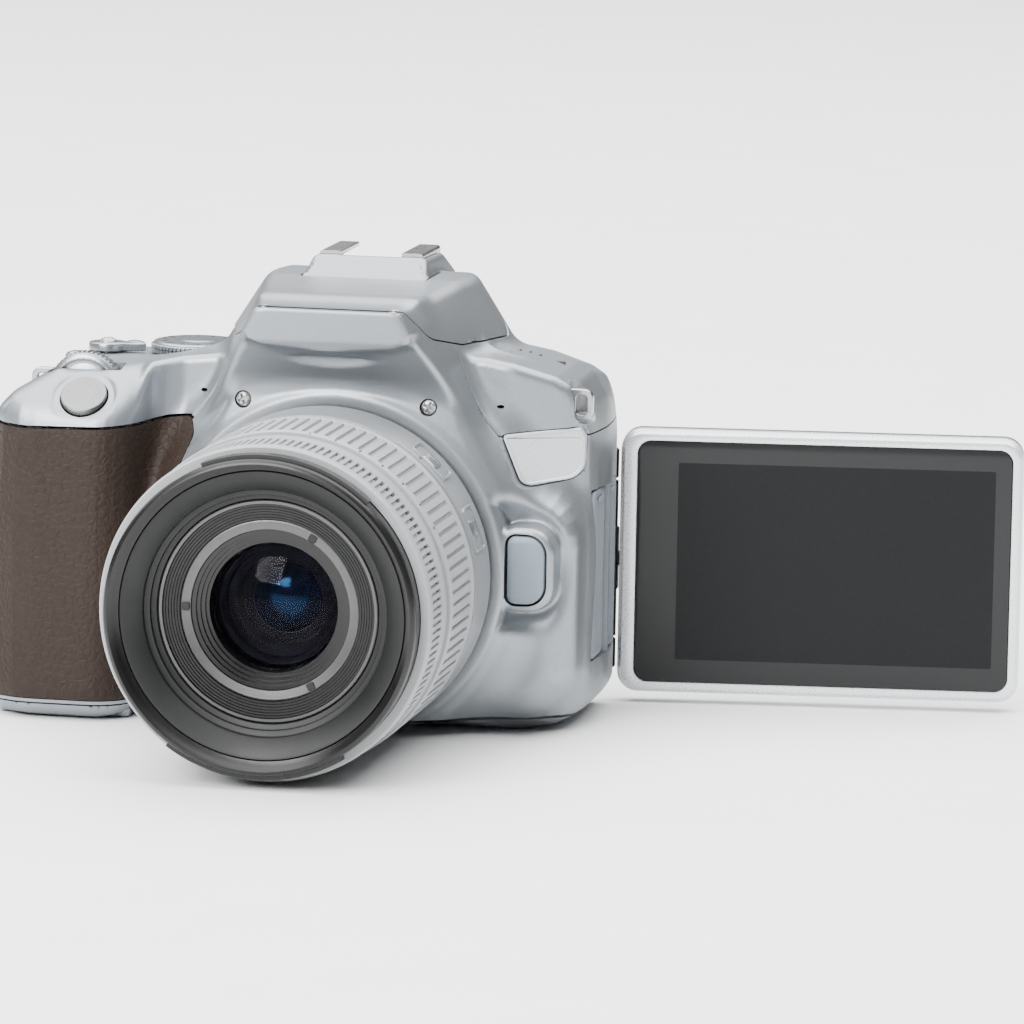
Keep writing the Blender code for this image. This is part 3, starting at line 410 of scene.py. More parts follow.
def outer_skin(x, y, z):
    """The closed body, all covers in one, before anything is cut into it."""
    drop = 0.17 * np.maximum(y + 3, 0) * ramp(z, 40, 62)
    lean_in = 1.3 * ramp(z, 34, 62) * ramp(-x, 40, 62)
    plan = polygon(x, y, BODY_PLAN) + lean_in
    core = both(polygon(x, z + drop, BODY_OUTLINE), plan, 2.0)
    core = both(core, (plan + 3.2 - z) * 0.7, 3.0)
    lean_y, lean_z = SHUTTER_WAY[1:]
    top = (y - SHUTTER_AT.y) * lean_y + (z - SHUTTER_AT.z) * lean_z
    core = both(core, top - 14 * ramp(x, -42, -33), 4.0)
    # The tower over the mount, the cone round it and the fuller corner beside it.
    rho = np.sqrt(x * x + (z - LENS_Z) ** 2)
    tower = slab(polygon(x, z, TOWER), y, -41.0, -20.0, 2.0)
    cone = both((rho - 36.6 - (y + 41) * 0.62) * 0.85, -41.2 - y, 1.5)
    cone = np.maximum(cone, np.maximum(2.9 - z, y + 22))
    pad = slab(polygon(x, z, LOWER_PAD), y, -37.0, -20, 6.5)
    body = either(core, pad, 5.0)
    body = either(body, either(tower, cone, 3.0), 4.0)
    lip = slab(np.abs(rho - 33.2) - 1.7, y, -42.6, -36, 0.9)
    lip = np.maximum(lip, 3.4 - z)
    body = either(body, lip, 1.6)
    # The brow over the lens, the prism housing, and a crescent pressed in under the brow.
    brow = slab(polygon(x, z, BROW), y, -50.4, -36, 0.45)
    body = either(body, brow, 5.5)
    flare = 0.36 + 0.24 * ramp(y, -34, -8)
    low_side = (np.abs(x) - hump_half_width(y) + flare * (z - 80)) * 0.88
    high_side = (np.abs(x) - hump_half_width(y) + 0.68 * (z - 80)) * 0.82
    hump = both(both(low_side, high_side, 1.5), polygon(y, z, HUMP_SIDE), 1.6)
    body = either(body, hump, 2.0)
    crescent = np.sqrt((x / 5.4) ** 2 + (y + 45.5) ** 2 + (z - 74.7 - x * x * 0.008) ** 2) - 1.5
    body = both(body, -crescent, 0.5)
    seat = polygon(y, z, rounded([
        (-17.4, 70, 0), (-17.4, 87.6, 1.2), (-12, 91.8, 1.2), (4, 91.4, 3), (11, 87.2, 3), (13, 70, 0)]))
    seat = both(seat, np.abs(x) - 12.7 + (z - 88) * 0.28, 1.4)
    body = either(body, seat, 0.6)
    # Round the lens release: a bowl in the corner, and a rim standing in it about the key.
    u, v = (x - RELEASE_AT[0] - 0.6) / 10.8, (z - RELEASE_AT[1] - 1.2) / 14.2
    bowl = (np.sqrt(u * u + v * v + ((y + 41) / 8.2) ** 2) - 1) * 7
    body = both(body, -np.maximum(bowl, 35.4 - rho), 1.8)
    rim = slab(polygon(x, z, RELEASE) - 1.6, y, -41.4, -28, 1.2)
    body = either(body, rim, 1.3)
    # A shallow dish under the shutter button.
    px, py, pz = x - SHUTTER_AT.x, y - SHUTTER_AT.y, z - SHUTTER_AT.z
    along = py * lean_y + pz * lean_z
    across = np.sqrt(np.maximum(px * px + py * py + pz * pz - along * along, 0))
    dish = np.maximum(across - 6.0, -along - 0.5)
    return both(body, -dish, 1.2)


# ---- meshes ---------------------------------------------------------------------------


def finish_object(name, mesh, body, finish, sharp=35, replace=(), scale=MM):
    """Makes a mesh a piece of the model: smooth, with sharp edges, riding on a body."""
    slot, material = finish
    mesh.transform(Matrix.Scale(scale, 4))
    bm = bmesh.new()
    bm.from_mesh(mesh)
    bmesh.ops.recalc_face_normals(bm, faces=bm.faces)
    bm.to_mesh(mesh)
    bm.free()
    mesh.shade_smooth()
    mesh.set_sharp_from_angle(angle=math.radians(sharp))
    obj = bpy.data.objects.new(name, mesh)
    bpy.context.scene.collection.objects.link(obj)
    mesh.materials.append(material)
    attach(obj, body)
    if replace:
        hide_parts(*replace)
    return obj


def cell_surface(field, low, step):
    """Points and quads of a field's zero surface, one point in each cell that it crosses."""
    inside = field < 0
    corners = [(i, j, k) for i in (0, 1) for j in (0, 1) for k in (0, 1)]
    n = np.array(field.shape) - 1
    count = np.zeros(n, np.int8)
    for i, j, k in corners:
        count += inside[i : i + n[0], j : j + n[1], k : k + n[2]]
    cells = np.argwhere((count > 0) & (count < 8))
    number = np.full(n, -1, np.int32)
    number[tuple(cells.T)] = np.arange(len(cells))
    value = [field[cells[:, 0] + i, cells[:, 1] + j, cells[:, 2] + k] for i, j, k in corners]
    total = np.zeros((len(cells), 3), np.float32)
    hits = np.zeros(len(cells), np.float32)
    for a in range(8):
        for axis in range(3):
            b = a + (4, 2, 1)[axis]
            if corners[a][axis] == 1:
                continue
            fa, fb = value[a], value[b]
            cross = (fa < 0) != (fb < 0)
            t = np.where(cross, fa / np.where(cross, fa - fb, 1), 0)
            point = np.tile(np.array(corners[a], np.float32), (len(cells), 1))
            point[:, axis] += t
            total += point * cross[:, None]
            hits += cross
    points = (cells + total / hits[:, None]) * step + low
    quads = []
    for axis in range(3):
        one, two = [(1, 2), (2, 0), (0, 1)][axis]
        ahead = [slice(None)] * 3
        ahead[axis] = slice(1, None)
        behind = [slice(None)] * 3
        behind[axis] = slice(None, -1)
        edge = inside[tuple(ahead)] != inside[tuple(behind)]
        at = np.argwhere(edge)
        at = at[(at[:, one] > 0) & (at[:, two] > 0) & (at[:, one] < n[one]) & (at[:, two] < n[two])]
        flip = inside[tuple(at.T)]
        ring = []
        for du, dv in ((1, 1), (0, 1), (0, 0), (1, 0)):
            c = at.copy()
            c[:, one] -= du
            c[:, two] -= dv
            ring.append(number[tuple(c.T)])
        ring = np.stack(ring, 1)
        ring[~flip] = ring[~flip][:, ::-1]
        quads.append(ring)
    return points, np.concatenate(quads)


def settle(points, fields, low, step):
    """Moves points on to every surface that passes close by, so that edges come out crisp."""
    top = np.array(fields[0].shape) - 1.001

    def sample(field, p):
        g = np.clip((p - low) / step, 0, top)
        base = g.astype(np.int32)
        t = g - base
        out = 0
        for i in (0, 1):
            for j in (0, 1):
                for k in (0, 1):
                    w = (t[:, 0] if i else 1 - t[:, 0]) * (t[:, 1] if j else 1 - t[:, 1])
                    w = w * (t[:, 2] if k else 1 - t[:, 2])
                    out = out + w * field[base[:, 0] + i, base[:, 1] + j, base[:, 2] + k]
        return out

    start = points.copy()
    for _ in range(3):
        for field in fields:
            d = sample(field, points)
            e = step * 0.35
            slope = np.stack(
                [sample(field, points + o) - sample(field, points - o) for o in np.eye(3) * e], 1
            ) / (2 * e)
            size = np.maximum((slope**2).sum(1), 0.2)
            move = slope * (d / size)[:, None]
            near = np.abs(d) < step * 0.75
            points = points - move * near[:, None]
    far = np.linalg.norm(points - start, axis=1) > step * 0.9
    points[far] = start[far]
    return points


def panel(name, parts, axes, finish, replace, body="body"):
    """A cover: what all the fields have in common, as a decimated mesh."""
    field = parts[0]
    for part in parts[1:]:
        field = np.maximum(field, part)
    some = np.argwhere(field < 0)
    a = np.maximum(some.min(0) - 2, 0)
    b = some.max(0) + 3
    cut = tuple(slice(p, q) for p, q in zip(a, b))
    low = np.array([axis[p] for axis, p in zip(axes, a)])
    points, quads = cell_surface(field[cut], low, CELL)
    fields = [np.broadcast_to(part, field.shape)[cut] for part in parts]
    points = settle(points, fields, low, CELL)
    mesh = bpy.data.meshes.new(name)
    mesh.vertices.add(len(points))
    mesh.vertices.foreach_set("co", (points * MM).astype(np.float32).ravel())
    mesh.loops.add(quads.size)
    mesh.loops.foreach_set("vertex_index", quads.ravel().astype(np.int32))
    mesh.polygons.add(len(quads))
    mesh.polygons.foreach_set("loop_start", np.arange(0, quads.size, 4, dtype=np.int32))
    mesh.update(calc_edges=True)
    mesh.validate()
    obj = bpy.data.objects.new(name, mesh)
    bpy.context.scene.collection.objects.link(obj)
    thin = obj.modifiers.new("thin", "DECIMATE")
    thin.ratio = FACES_KEPT
    thin.use_collapse_triangulate = True
    bpy.context.view_layer.update()
    held = obj.evaluated_get(bpy.context.evaluated_depsgraph_get())
    done = bpy.data.meshes.new_from_object(held)
    done.name = name
    bpy.data.objects.remove(obj)
    obj = finish_object(name, done, body, finish, 38, replace, 1.0)
    even = obj.modifiers.new("even", "WEIGHTED_NORMAL")
    even.keep_sharp = True
    even.weight = 60
    return obj


def top_split(x, y):
    """Height of the joint under the top cover, which rises along the leather."""
    along = np.interp(x, [-76, -72, -67, -62.5, -47, -40.4, -36.2, -31.5, -29],
        [60.6, 59.7, 59.1, 58.9, 59.3, 59.8, 60.8, 61.3, 59.6]).astype(np.float32)
    front = ramp(-y, 14, 27)
    return TOP_SPLIT + (along - TOP_SPLIT) * front


LEATHER = rounded([(-90, 4.4, 0), (-90, 60.2, 0), (-76, 60.2, 0), (-72, 59.3, 0), (-67, 58.7, 0),
    (-62.5, 58.5, 0), (-47, 58.9, 0), (-40.4, 59.4, 0), (-36.2, 60.4, 0), (-31.2, 61.0, 1.2),
    (-29.4, 58.0, 2), (-31.4, 53, 4), (-36.5, 42, 8), (-38.6, 30, 8), (-37, 4.4, 0)])


def make_body():
    """The covers and the grip skin, cut out of the one closed body."""
    lows, highs = (-75.4, -52.2, -1.3), (52.2, 16.2, 93.6)
    axes = [np.arange(a, b, CELL, dtype=np.float32) for a, b in zip(lows, highs)]
    x, y, z = axes[0][:, None, None], axes[1][None, :, None], axes[2][None, None, :]
    skin = outer_skin(x, y, z)
    wall = -(skin + WALL)
    g = SEAM
    base = z - BASE_SPLIT
    flash = slab(polygon(y, z, rounded([(-60, 85.6, 0), (-47.8, 85.6, 2), (-42, 79.6, 6), (-30, 77.2, 6),
        (-9, 76.8, 3), (-5, 79, 1), (-5, 95, 0), (-60, 95, 0)])), x + 0 * y, -45, 45)
    bump = slab(polygon(y, z, rounded([(-17.7, 70, 0), (-17.7, 87.8, 1.2), (-12.2, 92.3, 1.2),
        (30, 92.3, 0), (30, 70, 0)])), x + 0 * y, -12.9, 12.9)
    flash = np.maximum(flash, -bump)
    crown = np.maximum(polygon(x, z, [
        (-31, 50), (-31, 95), (40, 95), (40, 60), (31, 50)]),
        y - CROWN_BACK)
    over = z - top_split(x, y)

    def bar(*shape):
        return tube(x, y, z, *shape)

    def block(*shape):
        return box(x, y, z, *shape)

    # Holes in the top: controls, shoe, lug notches, finder and dioptre wheel.
    top_cuts = [
        bar(SHUTTER_AT, SHUTTER_WAY, 4.95, 9),
        block((MAIN_DIAL_AT[0] - 7.75, MAIN_DIAL_AT[1] - 2.6, 57),
            (MAIN_DIAL_AT[0] + 7.75, MAIN_DIAL_AT[1] + 2.6, 80), 0.8),
        bar((*MODE_DIAL_AT, MODE_DIAL_SEAT + 5), UP, 10.0, 5),
        *[bar((*at, DECK), UP, 2.75, 7) for at in TOP_KEYS.values()],
        bar((*SWITCH_AT, DECK), UP, 2.1, 6),
        block((-10.9, -11.1, 88.4), (10.9, 20, 95), 0.2),
        block((43.2, -27.0, 61.6), (56, -18.4, 72.6), 2.4),
        block((-80, -12.6, 59.9), (-66.4, -6.0, 70.4), 1.6),
        block((-9.3, 4, 68.2), (9.3, 30, 80.8), 0.6),
        bar(DIOPTRE_AT, BACK, 2.6, 4),
    ]
    key_holes = [bar((px, REAR_FACE, pz), BACK, r + 0.3, 12) for _, px, pz, r in REAR_KEYS]
    top_cuts += key_holes[:4]
    # Holes in the front: mount, release key, the two socket flaps, badge and screws.
    front_cuts = [
        bar((0, -40, LENS_Z), BACK, 29.9, 15),
        slab(polygon(x, z, RELEASE) - 0.3, y, -60, -28),
        block((46.9, -23.3, 13.7), (56, -11.7, 48.3), 0.4),
        block((46.9, -10.9, 13.7), (56, 0.7, 48.3), 0.4),
        slab(polygon(x, z, BADGE) - 0.22, y - badge_plane(x, z), -60, -31.4),
    ]
    top_cuts.append(front_cuts[-1])
    for side in (-1, 1):
        front_cuts.append(bar((side * SCREW_X, -41, SCREW_Z), BACK, 1.75, 1.8))
    # A microphone slot on each side of the prism housing.
    for px, pz in ((-28.8, 66.2), (31.2, 65.4)):
        slot = np.sqrt((z - pz) ** 2 + (x - px - np.clip(x - px, -0.45, 0.45)) ** 2) - 0.36
        top_cuts.append(np.maximum(slot, y + 24))
    hinge_x = HINGE_AT[0]
    rear_cuts = [
        block((hinge_x - 85.2, 8.2, SCREEN_Z - 27.6), (60, 30, SCREEN_Z + 27.6), 1.2),
        block((hinge_x - 3.2, 7.2, SCREEN_Z - 16), (60, 30, SCREEN_Z + 16)),
        bar((CROSS_AT[0], REAR_FACE, CROSS_AT[1]), BACK, 9.3, 12),
        *key_holes[4:],
    ]
    base_cuts = [
        bar(TRIPOD_AT, UP, 6.3, 10),
        block((-69.5, -38, -5), (-42, 2.5, 9), 0.4),
        block((hinge_x - 85.2, 8.2, 1.6), (60, 30, 9), 0.4),
    ]
    leather = np.maximum(polygon(x, z, LEATHER), y + 12)
    silver = ("silver_plastic", paint("silver_paint", 0.28, 0.8, 0.41))

    def cover(name, cuts, region, replaced, body="body", inner=None):
        """One cover: the skin, its inner wall thickened round each cut, less the cuts."""
        solid = wall if inner is None else np.minimum(wall, inner)
        opening = cuts[0]
        for one in cuts[1:]:
            opening = np.minimum(opening, one)
        solid = np.minimum(solid, opening - LINING)
        panel(name, [skin, solid, -opening, *region], axes, silver, (replaced,), body)

    lower = np.maximum(y - REAR_SPLIT + g, over + g)
    uncut = [y + 0 * x + 0 * z + 1000]  # a field that removes nothing
    cover("base_panel", base_cuts, [base + g], "base_cover")
    cover("flash_hood", uncut, [flash + g], "flash_head", "flash")
    cover("top_panel", top_cuts, [g - base, g - flash, g - over, g - crown], "top_cover")
    cover("front_panel", front_cuts, [g - base, g - flash, np.minimum(lower, crown + g),
        np.minimum(g - leather, skin + 1.5)], "front_cover")
    cover("rear_panel", rear_cuts, [g - base, REAR_SPLIT + g - y, over + g], "rear_cover", inner=6.2 - y)
    panel("grip_wrap", [skin - 0.05, -(skin + 1.2), leather + 0.05], axes,
          ("grip_rubber", leather_material()), ("grip_leather",))


make_body()


# ---- small parts ----------------------------------------------------------------------


def basis(axis):
    """Two directions square to an axis, the first of them level where it can be."""
    way = Vector(axis).normalized()
    side = Vector((0, 0, 1)).cross(way)
    side = side.normalized() if side.length > 0.1 else Vector((1, 0, 0))
    return way, side, way.cross(side)


def turned(name, profile, at, axis, body, finish, steps=64, replace=(), tooth=None):
    """A lathed piece from a closed profile: (radius, height), and a depth too where a row is toothed."""
    way, side, other = basis(axis)
    if tooth:
        count, pattern = tooth
        angles = [(k + share, cut) for k in range(count) for share, cut in pattern]
        angles = [(2 * math.pi * a / count, cut) for a, cut in angles]
    else:
        angles = [(2 * math.pi * k / steps, 0) for k in range(steps)]
    verts, faces, rows = [], [], len(profile)
    at = Vector(at)
    for a, cut in angles:
        out = side * math.cos(a) + other * math.sin(a)
        for row in profile:
            r = row[0] - (row[2] * cut if len(row) > 2 else 0)
            verts.append(at + out * r + way * row[1])
    total = len(angles)
    for i in range(total):
        j = (i + 1) % total
        for k in range(rows):
            m = (k + 1) % rows
            faces.append((i * rows + k, i * rows + m, j * rows + m, j * rows + k))
    mesh = bpy.data.meshes.new(name)
    mesh.from_pydata([tuple(v) for v in verts], [], faces)
    bm = bmesh.new()
    bm.from_mesh(mesh)
    bmesh.ops.remove_doubles(bm, verts=bm.verts, dist=1e-4)
    loose = [f for f in bm.faces if f.calc_area() < 1e-9]
    bmesh.ops.delete(bm, geom=loose, context="FACES")
    bm.to_mesh(mesh)
    bm.free()
    return finish_object(name, mesh, body, finish, replace=replace)


def loft(name, rings, body, finish, replace=(), loop=False, place=None):
    """A skin over rings of points with equal counts, capped at both ends or closed on itself."""
    count = len(rings[0])
    verts = [Vector(p) for ring in rings for p in ring]
    if place:
        verts = [place @ v for v in verts]
    faces = []
    spans = len(rings) if loop else len(rings) - 1
    for i in range(spans):
        a, b = i * count, ((i + 1) % len(rings)) * count
        for k in range(count):
            m = (k + 1) % count
            faces.append((a + k, a + m, b + m, b + k))
    if not loop:
        faces += [tuple(range(count)), tuple(range((len(rings) - 1) * count, len(rings) * count))]
    mesh = bpy.data.meshes.new(name)
    mesh.from_pydata([tuple(v) for v in verts], [], faces)
    return finish_object(name, mesh, body, finish, replace=replace)


def bevelled(obj, width):
    """Rounds a piece's edges, and evens its shading."""
    edge = obj.modifiers.new("edge", "BEVEL")
    edge.width, edge.segments = width * MM, 2
    edge.limit_method, edge.angle_limit = "ANGLE", math.radians(40)
    edge.harden_normals = False
    even = obj.modifiers.new("even", "WEIGHTED_NORMAL")
    even.keep_sharp = True
    return obj


def on_plane(outline, axis, t):
    """An outline's points on the plane that lies at t along an axis."""
    return {
        "X": [(t, u, v) for u, v in outline],
        "Y": [(u, t, v) for u, v in outline],
        "Z": [(u, v, t) for u, v in outline],
    }[axis]


def prism(name, outline, axis, low, high, body, finish, bevel=0.2, replace=(), place=None):
    """An outline given thickness along an axis, with its edges rounded."""
    rings = [on_plane(outline, axis, low), on_plane(outline, axis, high)]
    obj = loft(name, rings, body, finish, replace, place=place)
    return bevelled(obj, bevel) if bevel else obj


def carve(obj, outline, axis, low, high):
    """Cuts a straight hole through a piece."""
    rings = [on_plane(outline, axis, low), on_plane(outline, axis, high)]
    tool = loft("tool", rings, "body", ("steel", obj.data.materials[0]))
    cut = obj.modifiers.new("cut", "BOOLEAN")
    cut.operation, cut.solver, cut.object = "DIFFERENCE", "EXACT", tool
    obj.modifiers.move(len(obj.modifiers) - 1, 0)
    bpy.context.view_layer.update()
    for m in obj.modifiers[1:]:
        m.show_viewport = False
    bpy.context.view_layer.update()
    done = bpy.data.meshes.new_from_object(obj.evaluated_get(bpy.context.evaluated_depsgraph_get()))
    obj.modifiers.remove(obj.modifiers[0])
    for m in obj.modifiers:
        m.show_viewport = True
    obj.data = done
    bpy.data.objects.remove(tool)
    return obj


def inset(outline, by):
    """The same outline moved inwards, point for point."""
    pts = [Vector(p) for p in outline]
    area = sum(a.x * b.y - b.x * a.y for a, b in zip(pts, pts[1:] + pts[:1]))
    sign = 1 if area > 0 else -1
    out = []
    for i, p in enumerate(pts):
        one = (p - pts[i - 1])
        two = (pts[(i + 1) % len(pts)] - p)
        one = one.normalized() if one.length > 1e-6 else two.normalized()
        two = two.normalized() if two.length > 1e-6 else one
        way = (one + two).normalized()
        out.append(tuple(p + Vector((-way.y, way.x)) * sign * by))
    return out


def frame_outline(u0, u1, v0, v1, r, steps=8):
    """A rectangle with rounded corners."""
    return rounded([(u0, v0, r), (u1, v0, r), (u1, v1, r), (u0, v1, r)], steps)


def plate_rows(shape, axis, rows, steps=6):
    """Rows of a rounded plate, each at a height and drawn in by a margin."""
    u0, u1, v0, v1, r = shape
    return [on_plane(frame_outline(u0 + by, u1 - by, v0 + by, v1 - by, max(r - by, 0.3), steps), axis, t)
            for t, by in rows]


# Finishes: the slot in the record, and the material.
SILVER = ("silver_plastic", paint("silver_fittings", 0.3, 0.82, 0.3))
PALE = ("pale_plastic", plastic("pale_lens_plastic", 0.3, 0.42, -0.03, 0.012, 2400, 0.05, 0.05))
BARREL = ("silver_plastic", paint("barrel_paint", 0.25, 0.45, 0.4, 0.06, -0.05))
BLACK = ("black_plastic", plastic("black_plastic", 0.008, 0.42, 0, 0.025, 1800, 0.0, 0.25))
SATIN_BLACK = ("black_plastic", plastic("satin_black", 0.006, 0.3, 0, 0.012, 2600, 0.04, 0.25))
DARK_GREY = ("black_plastic", plastic("dark_grey_ring", 0.008, 0.5, -0.04, 0.02, 2600, 0.0, 0.2))
RUBBER = ("grey_rubber", plastic("grey_rubber", 0.17, 0.62, -0.13, 0.03, 1400, 0.0, 0.07))
BLACK_RUBBER = ("black_rubber", plastic("black_rubber", 0.018, 0.7, 0, 0.04, 1100, 0.0, 0.3))
LAVENDER = ("pale_plastic", plastic("release_plastic", 0.22, 0.4, -0.17, 0.012, 2200, 0.1, 0.05))
STEEL = ("steel", metal("plated_steel", 0.42, 0.3, 0.0001))
SCREW = ("steel", metal("screw_steel", 0.5, 0.4, 0.0001))
MARK = ("black_plastic", plastic("mark_paint", 0.05, 0.5, 0, 0.008, 3000))


def about_lens(degrees):
    """A turn round the axis of the lens, measured upwards from the side towards RIGHT."""
    return Matrix.Translation((0, 0, LENS_Z)) @ Matrix.Rotation(-math.radians(degrees), 4, "Y")


def dome(radius, bulge, y, step):
    """The profile of a round glass face, middle to rim, bulge being its radius of curvature."""
    reach = [radius * math.sin(math.radians(a)) for a in range(step, 91, step)]
    return [(0, y)] + [(r, y + bulge * (1 - math.cos(math.asin(r / bulge)))) for r in reach]


def make_lens():
    """The lens, from its rear barrel to its front ring, with its glass, switches and marks."""
    at, axis = (0, 0, LENS_Z), BACK

    def ring(name, profile, body, finish, **more):
        return turned(name, profile, at, axis, body, finish, **more)

    ring("rear_barrel", [(26.5, -40.6), (26.5, -44.3), (29.2, -44.3), (30.2, -44.6), (31.2, -45.4),
        (32.4, -46.4), (32.9, -47.2), (33.0, -48.2), (33.0, -60.6), (32.9, -61.0), (32.4, -61.1),
        (32.3, -61.5), (32.8, -61.7), (32.8, -62.1), (32.6, -62.3), (29.6, -62.3), (29.6, -84.5),
        (27.9, -84.5), (27.9, -50), (22.5, -50), (22.5, -40.6)], "body", BARREL, steps=192,
        replace=("lens_barrel",))
    rib = [(0.0, 0), (0.58, 0), (0.64, 1), (0.96, 1)]
    ring("zoom_grip_ring", [
        (32.5, -62.6), (32.9, -62.8), (33.0, -63.2), (33.0, -64.3), (32.75, -64.7, 0), (32.95, -65.1, 0.55),
        (33.0, -65.5, 0.62), (33.0, -81.4, 0.62), (32.95, -81.8, 0.55), (32.75, -82.2, 0), (33.0, -82.5),
        (33.0, -83.9), (32.8, -84.3), (32.4, -84.4), (29.9, -84.4), (29.9, -62.6),
    ], "zoom_grip", PALE, replace=("zoom_ring",), tooth=(90, rib))
    slit = [(0.0, 0), (0.5, 0), (0.56, 1), (0.94, 1)]
    ring("focus_grip_ring", [(32.0, -85.3), (32.3, -85.45), (32.4, -85.8), (32.4, -86.3), (32.15, -86.45),
        (32.15, -86.8), (32.4, -86.95), (32.4, -90.4, 0), (32.4, -90.6, 1.0), (32.4, -91.9, 1.0),
        (32.4, -92.05, 0.5), (32.4, -97.7, 0.5), (32.4, -98.0, 0), (32.4, -99.9), (32.3, -100.3),
        (32.0, -100.6), (30.5, -100.6), (30.5, -85.3)], "focus_grip", PALE, replace=("focus_ring",),
        tooth=(138, slit))
    thread = [(29.0 if k % 2 else 28.7, -105.2 + 0.22 * k) for k in range(11)]
    ring("front_ring", [(26.0, -56.0), (27.4, -56.0), (27.4, -84.9), (29.9, -84.9), (29.9, -100.9),
        (30.2, -101.0), (30.45, -101.3), (30.5, -101.7), (30.5, -104.7), (30.4, -105.2), (30.0, -105.65),
        (29.5, -105.8), (29.2, -105.6), *thread, (28.0, -102.6), (28.0, -98.0), (26.0, -98.0)],
        "front_group", SATIN_BLACK, steps=192, replace=("front_barrel",))
    ring("name_plate_ring", [(27.9, -101.0), (27.9, -102.5), (27.7, -102.7), (27.2, -102.6), (24.0, -100.2),
        (23.8, -99.9), (23.8, -99.1), (23.5, -98.9), (22.8, -98.7), (22.7, -98.4), (22.7, -97.8),
        (22.4, -97.6), (21.8, -97.4), (21.6, -97.0), (21.5, -93.0), (22.2, -93.0), (23.4, -98.0)],
        "front_group", DARK_GREY, steps=160, replace=("name_ring",))
    # Inside it a bright lip, a grooved dark ring, a bright grainy band and black steps down to the glass.
    bright = ("spun_metal", spun_material("turned_bright_ring", at, axis, 0.1, 0.42, 3600))
    grooved = ("spun_metal", spun_material("grooved_inner_ring", at, axis, 0.032, 0.42, 5200))
    ring("inner_lip", [(21.5, -93.0), (21.5, -97.2), (21.3, -97.35), (20.8, -97.3), (20.7, -97.1),
        (20.7, -93.0)], "front_group", bright, steps=160)
    steps, r, y = [], 20.65, -96.7
    for k in range(6):
        steps += [(r, y), (r - 0.38, y + 0.03), (r - 0.42, y + 0.3), (r - 0.5, y + 0.3)]
        r, y = r - 0.53, y + 0.12
    ring("grooved_ring", [(20.65, -92.5), *steps, (17.5, y), (17.5, -92.5)], "front_group", grooved,
         steps=160)
    ring("inner_band", [(17.45, -92.5), (17.45, -95.8), (17.2, -95.9), (15.6, -95.5), (15.5, -95.3),
        (15.5, -92.5)], "front_group", bright, steps=160)
    steps, r, y = [], 15.45, -95.0
    for drop, back in ((0.75, 0.1), (0.05, 0.7), (0.65, 0.1), (0.05, 0.7), (0.7, 0.1), (0.05, 0.7),
        (0.6, 0.1), (0.05, 0.6)):
        steps.append((r, y))
        r, y = r - drop, y + back
        steps.append((r, y))
    ring("glass_retainer", [(15.45, -88.5), *steps, (12.4, -88.5)], "front_group", SATIN_BLACK,
         steps=128)
    for k, degrees in enumerate((180, 60, 300)):
        turn = about_lens(degrees)
        prism(f"spanner_notch_{k}", frame_outline(15.7, 17.2, -0.8, 0.8, 0.3, 3), "Y", -96.0, -95.0,
            "front_group", BLACK, 0.1, place=turn)
    # Raised bayonet strips round the front ring.
    for k, (first, last) in enumerate(((-125, -58), (48, 112))):
        rows = []
        for h, low, high in ((30.3, -104.6, -102.2), (31.2, -104.6, -102.2), (31.35, -104.4, -102.4)):
            arc = [math.radians(first + (last - first) * i / 40) for i in range(41)]
            edge = [(t, low) for t in arc] + [(t, high) for t in reversed(arc)]
            rows.append([(h * math.cos(t), y, h * math.sin(t) + LENS_Z) for t, y in edge])
        loft(f"bayonet_strip_{k}", rows, "front_group", SATIN_BLACK)
    # The lens itself: a coated dome over nested black cells and a deeper dome.
    n = Nodes("coated_glass")
    smear = n.noise(40, 3)
    n.rough(n.span(smear, 0.0, 0.03, 0.4, 0.8))
    n.colour(n.ramp(smear, [(0.3, (0.5, 0.6, 0.75)), (0.8, (0.66, 0.56, 0.74))]))
    n.set(Transmission_Weight=1.0, IOR=1.11)
    ring("front_glass", dome(12.4, 20, -93.9, 6) + [(12.4, -88.9), (0, -89.9)], "front_group",
        ("clear_glass", n.mat), steps=96, replace=("front_element",))
    inner = [(14.6, -88.3), (12.2, -88.3), (11.6, -86.8), (10.6, -86.6), (10.2, -84.5), (8.6, -84.2),
        (8.2, -81), (6.4, -80.6), (6.2, -77), (0, -77), (0, -76), (14.6, -76)]
    m = Nodes("lens_inside")
    m.greys(m.noise(300, 3), 0.0012, 0.0022)
    m.set(Specular_IOR_Level=0.12, Roughness=0.6)
    ring("lens_cells", inner, "front_group", ("black_plastic", m.mat), steps=96)
    ring("inner_glass", dome(6.3, 9, -83.2, 8) + [(6.3, -78.5), (0, -78.5)], "front_group",
         ("dark_glass", coated("deep_coating", (0.002, 0.005, 0.012), (0.12, 0.4, 0.55))), steps=64)
    for key, degrees in (("focus_mode", 47), ("stabiliser", 20)):
        name, body = key + "_slider", key + "_key"
        turn = about_lens(degrees)
        loft(name, [[(h, u, v) for u, v in inset(frame_outline(-57.9, -52.1, -1.9, 1.9, 0.7, 4), i)]
                    for h, i in ((32.0, 0), (33.0, 0), (33.2, 0.2), (33.3, 0.5))], body, SILVER,
             replace=(key + "_switch",), place=turn)
        prism(name + "_rib", frame_outline(-55.3, -54.7, -1.6, 1.6, 0.25, 3), "X", 33.2, 33.6, body,
              SILVER, 0.1, place=turn)
        seat = frame_outline(-58.8, -51.2, -4.6, 4.6, 0.9, 5)
        loft(name + "_seat", [[(h, u, v) for u, v in inset(seat, i)] for h, i in (
            (32.2, 0), (33.1, 0), (33.25, 0.15), (33.25, 0.35), (32.9, 0.5), (32.9, 0.55), (32.2, 0.6))],
            "body", BARREL, place=turn, loop=True)
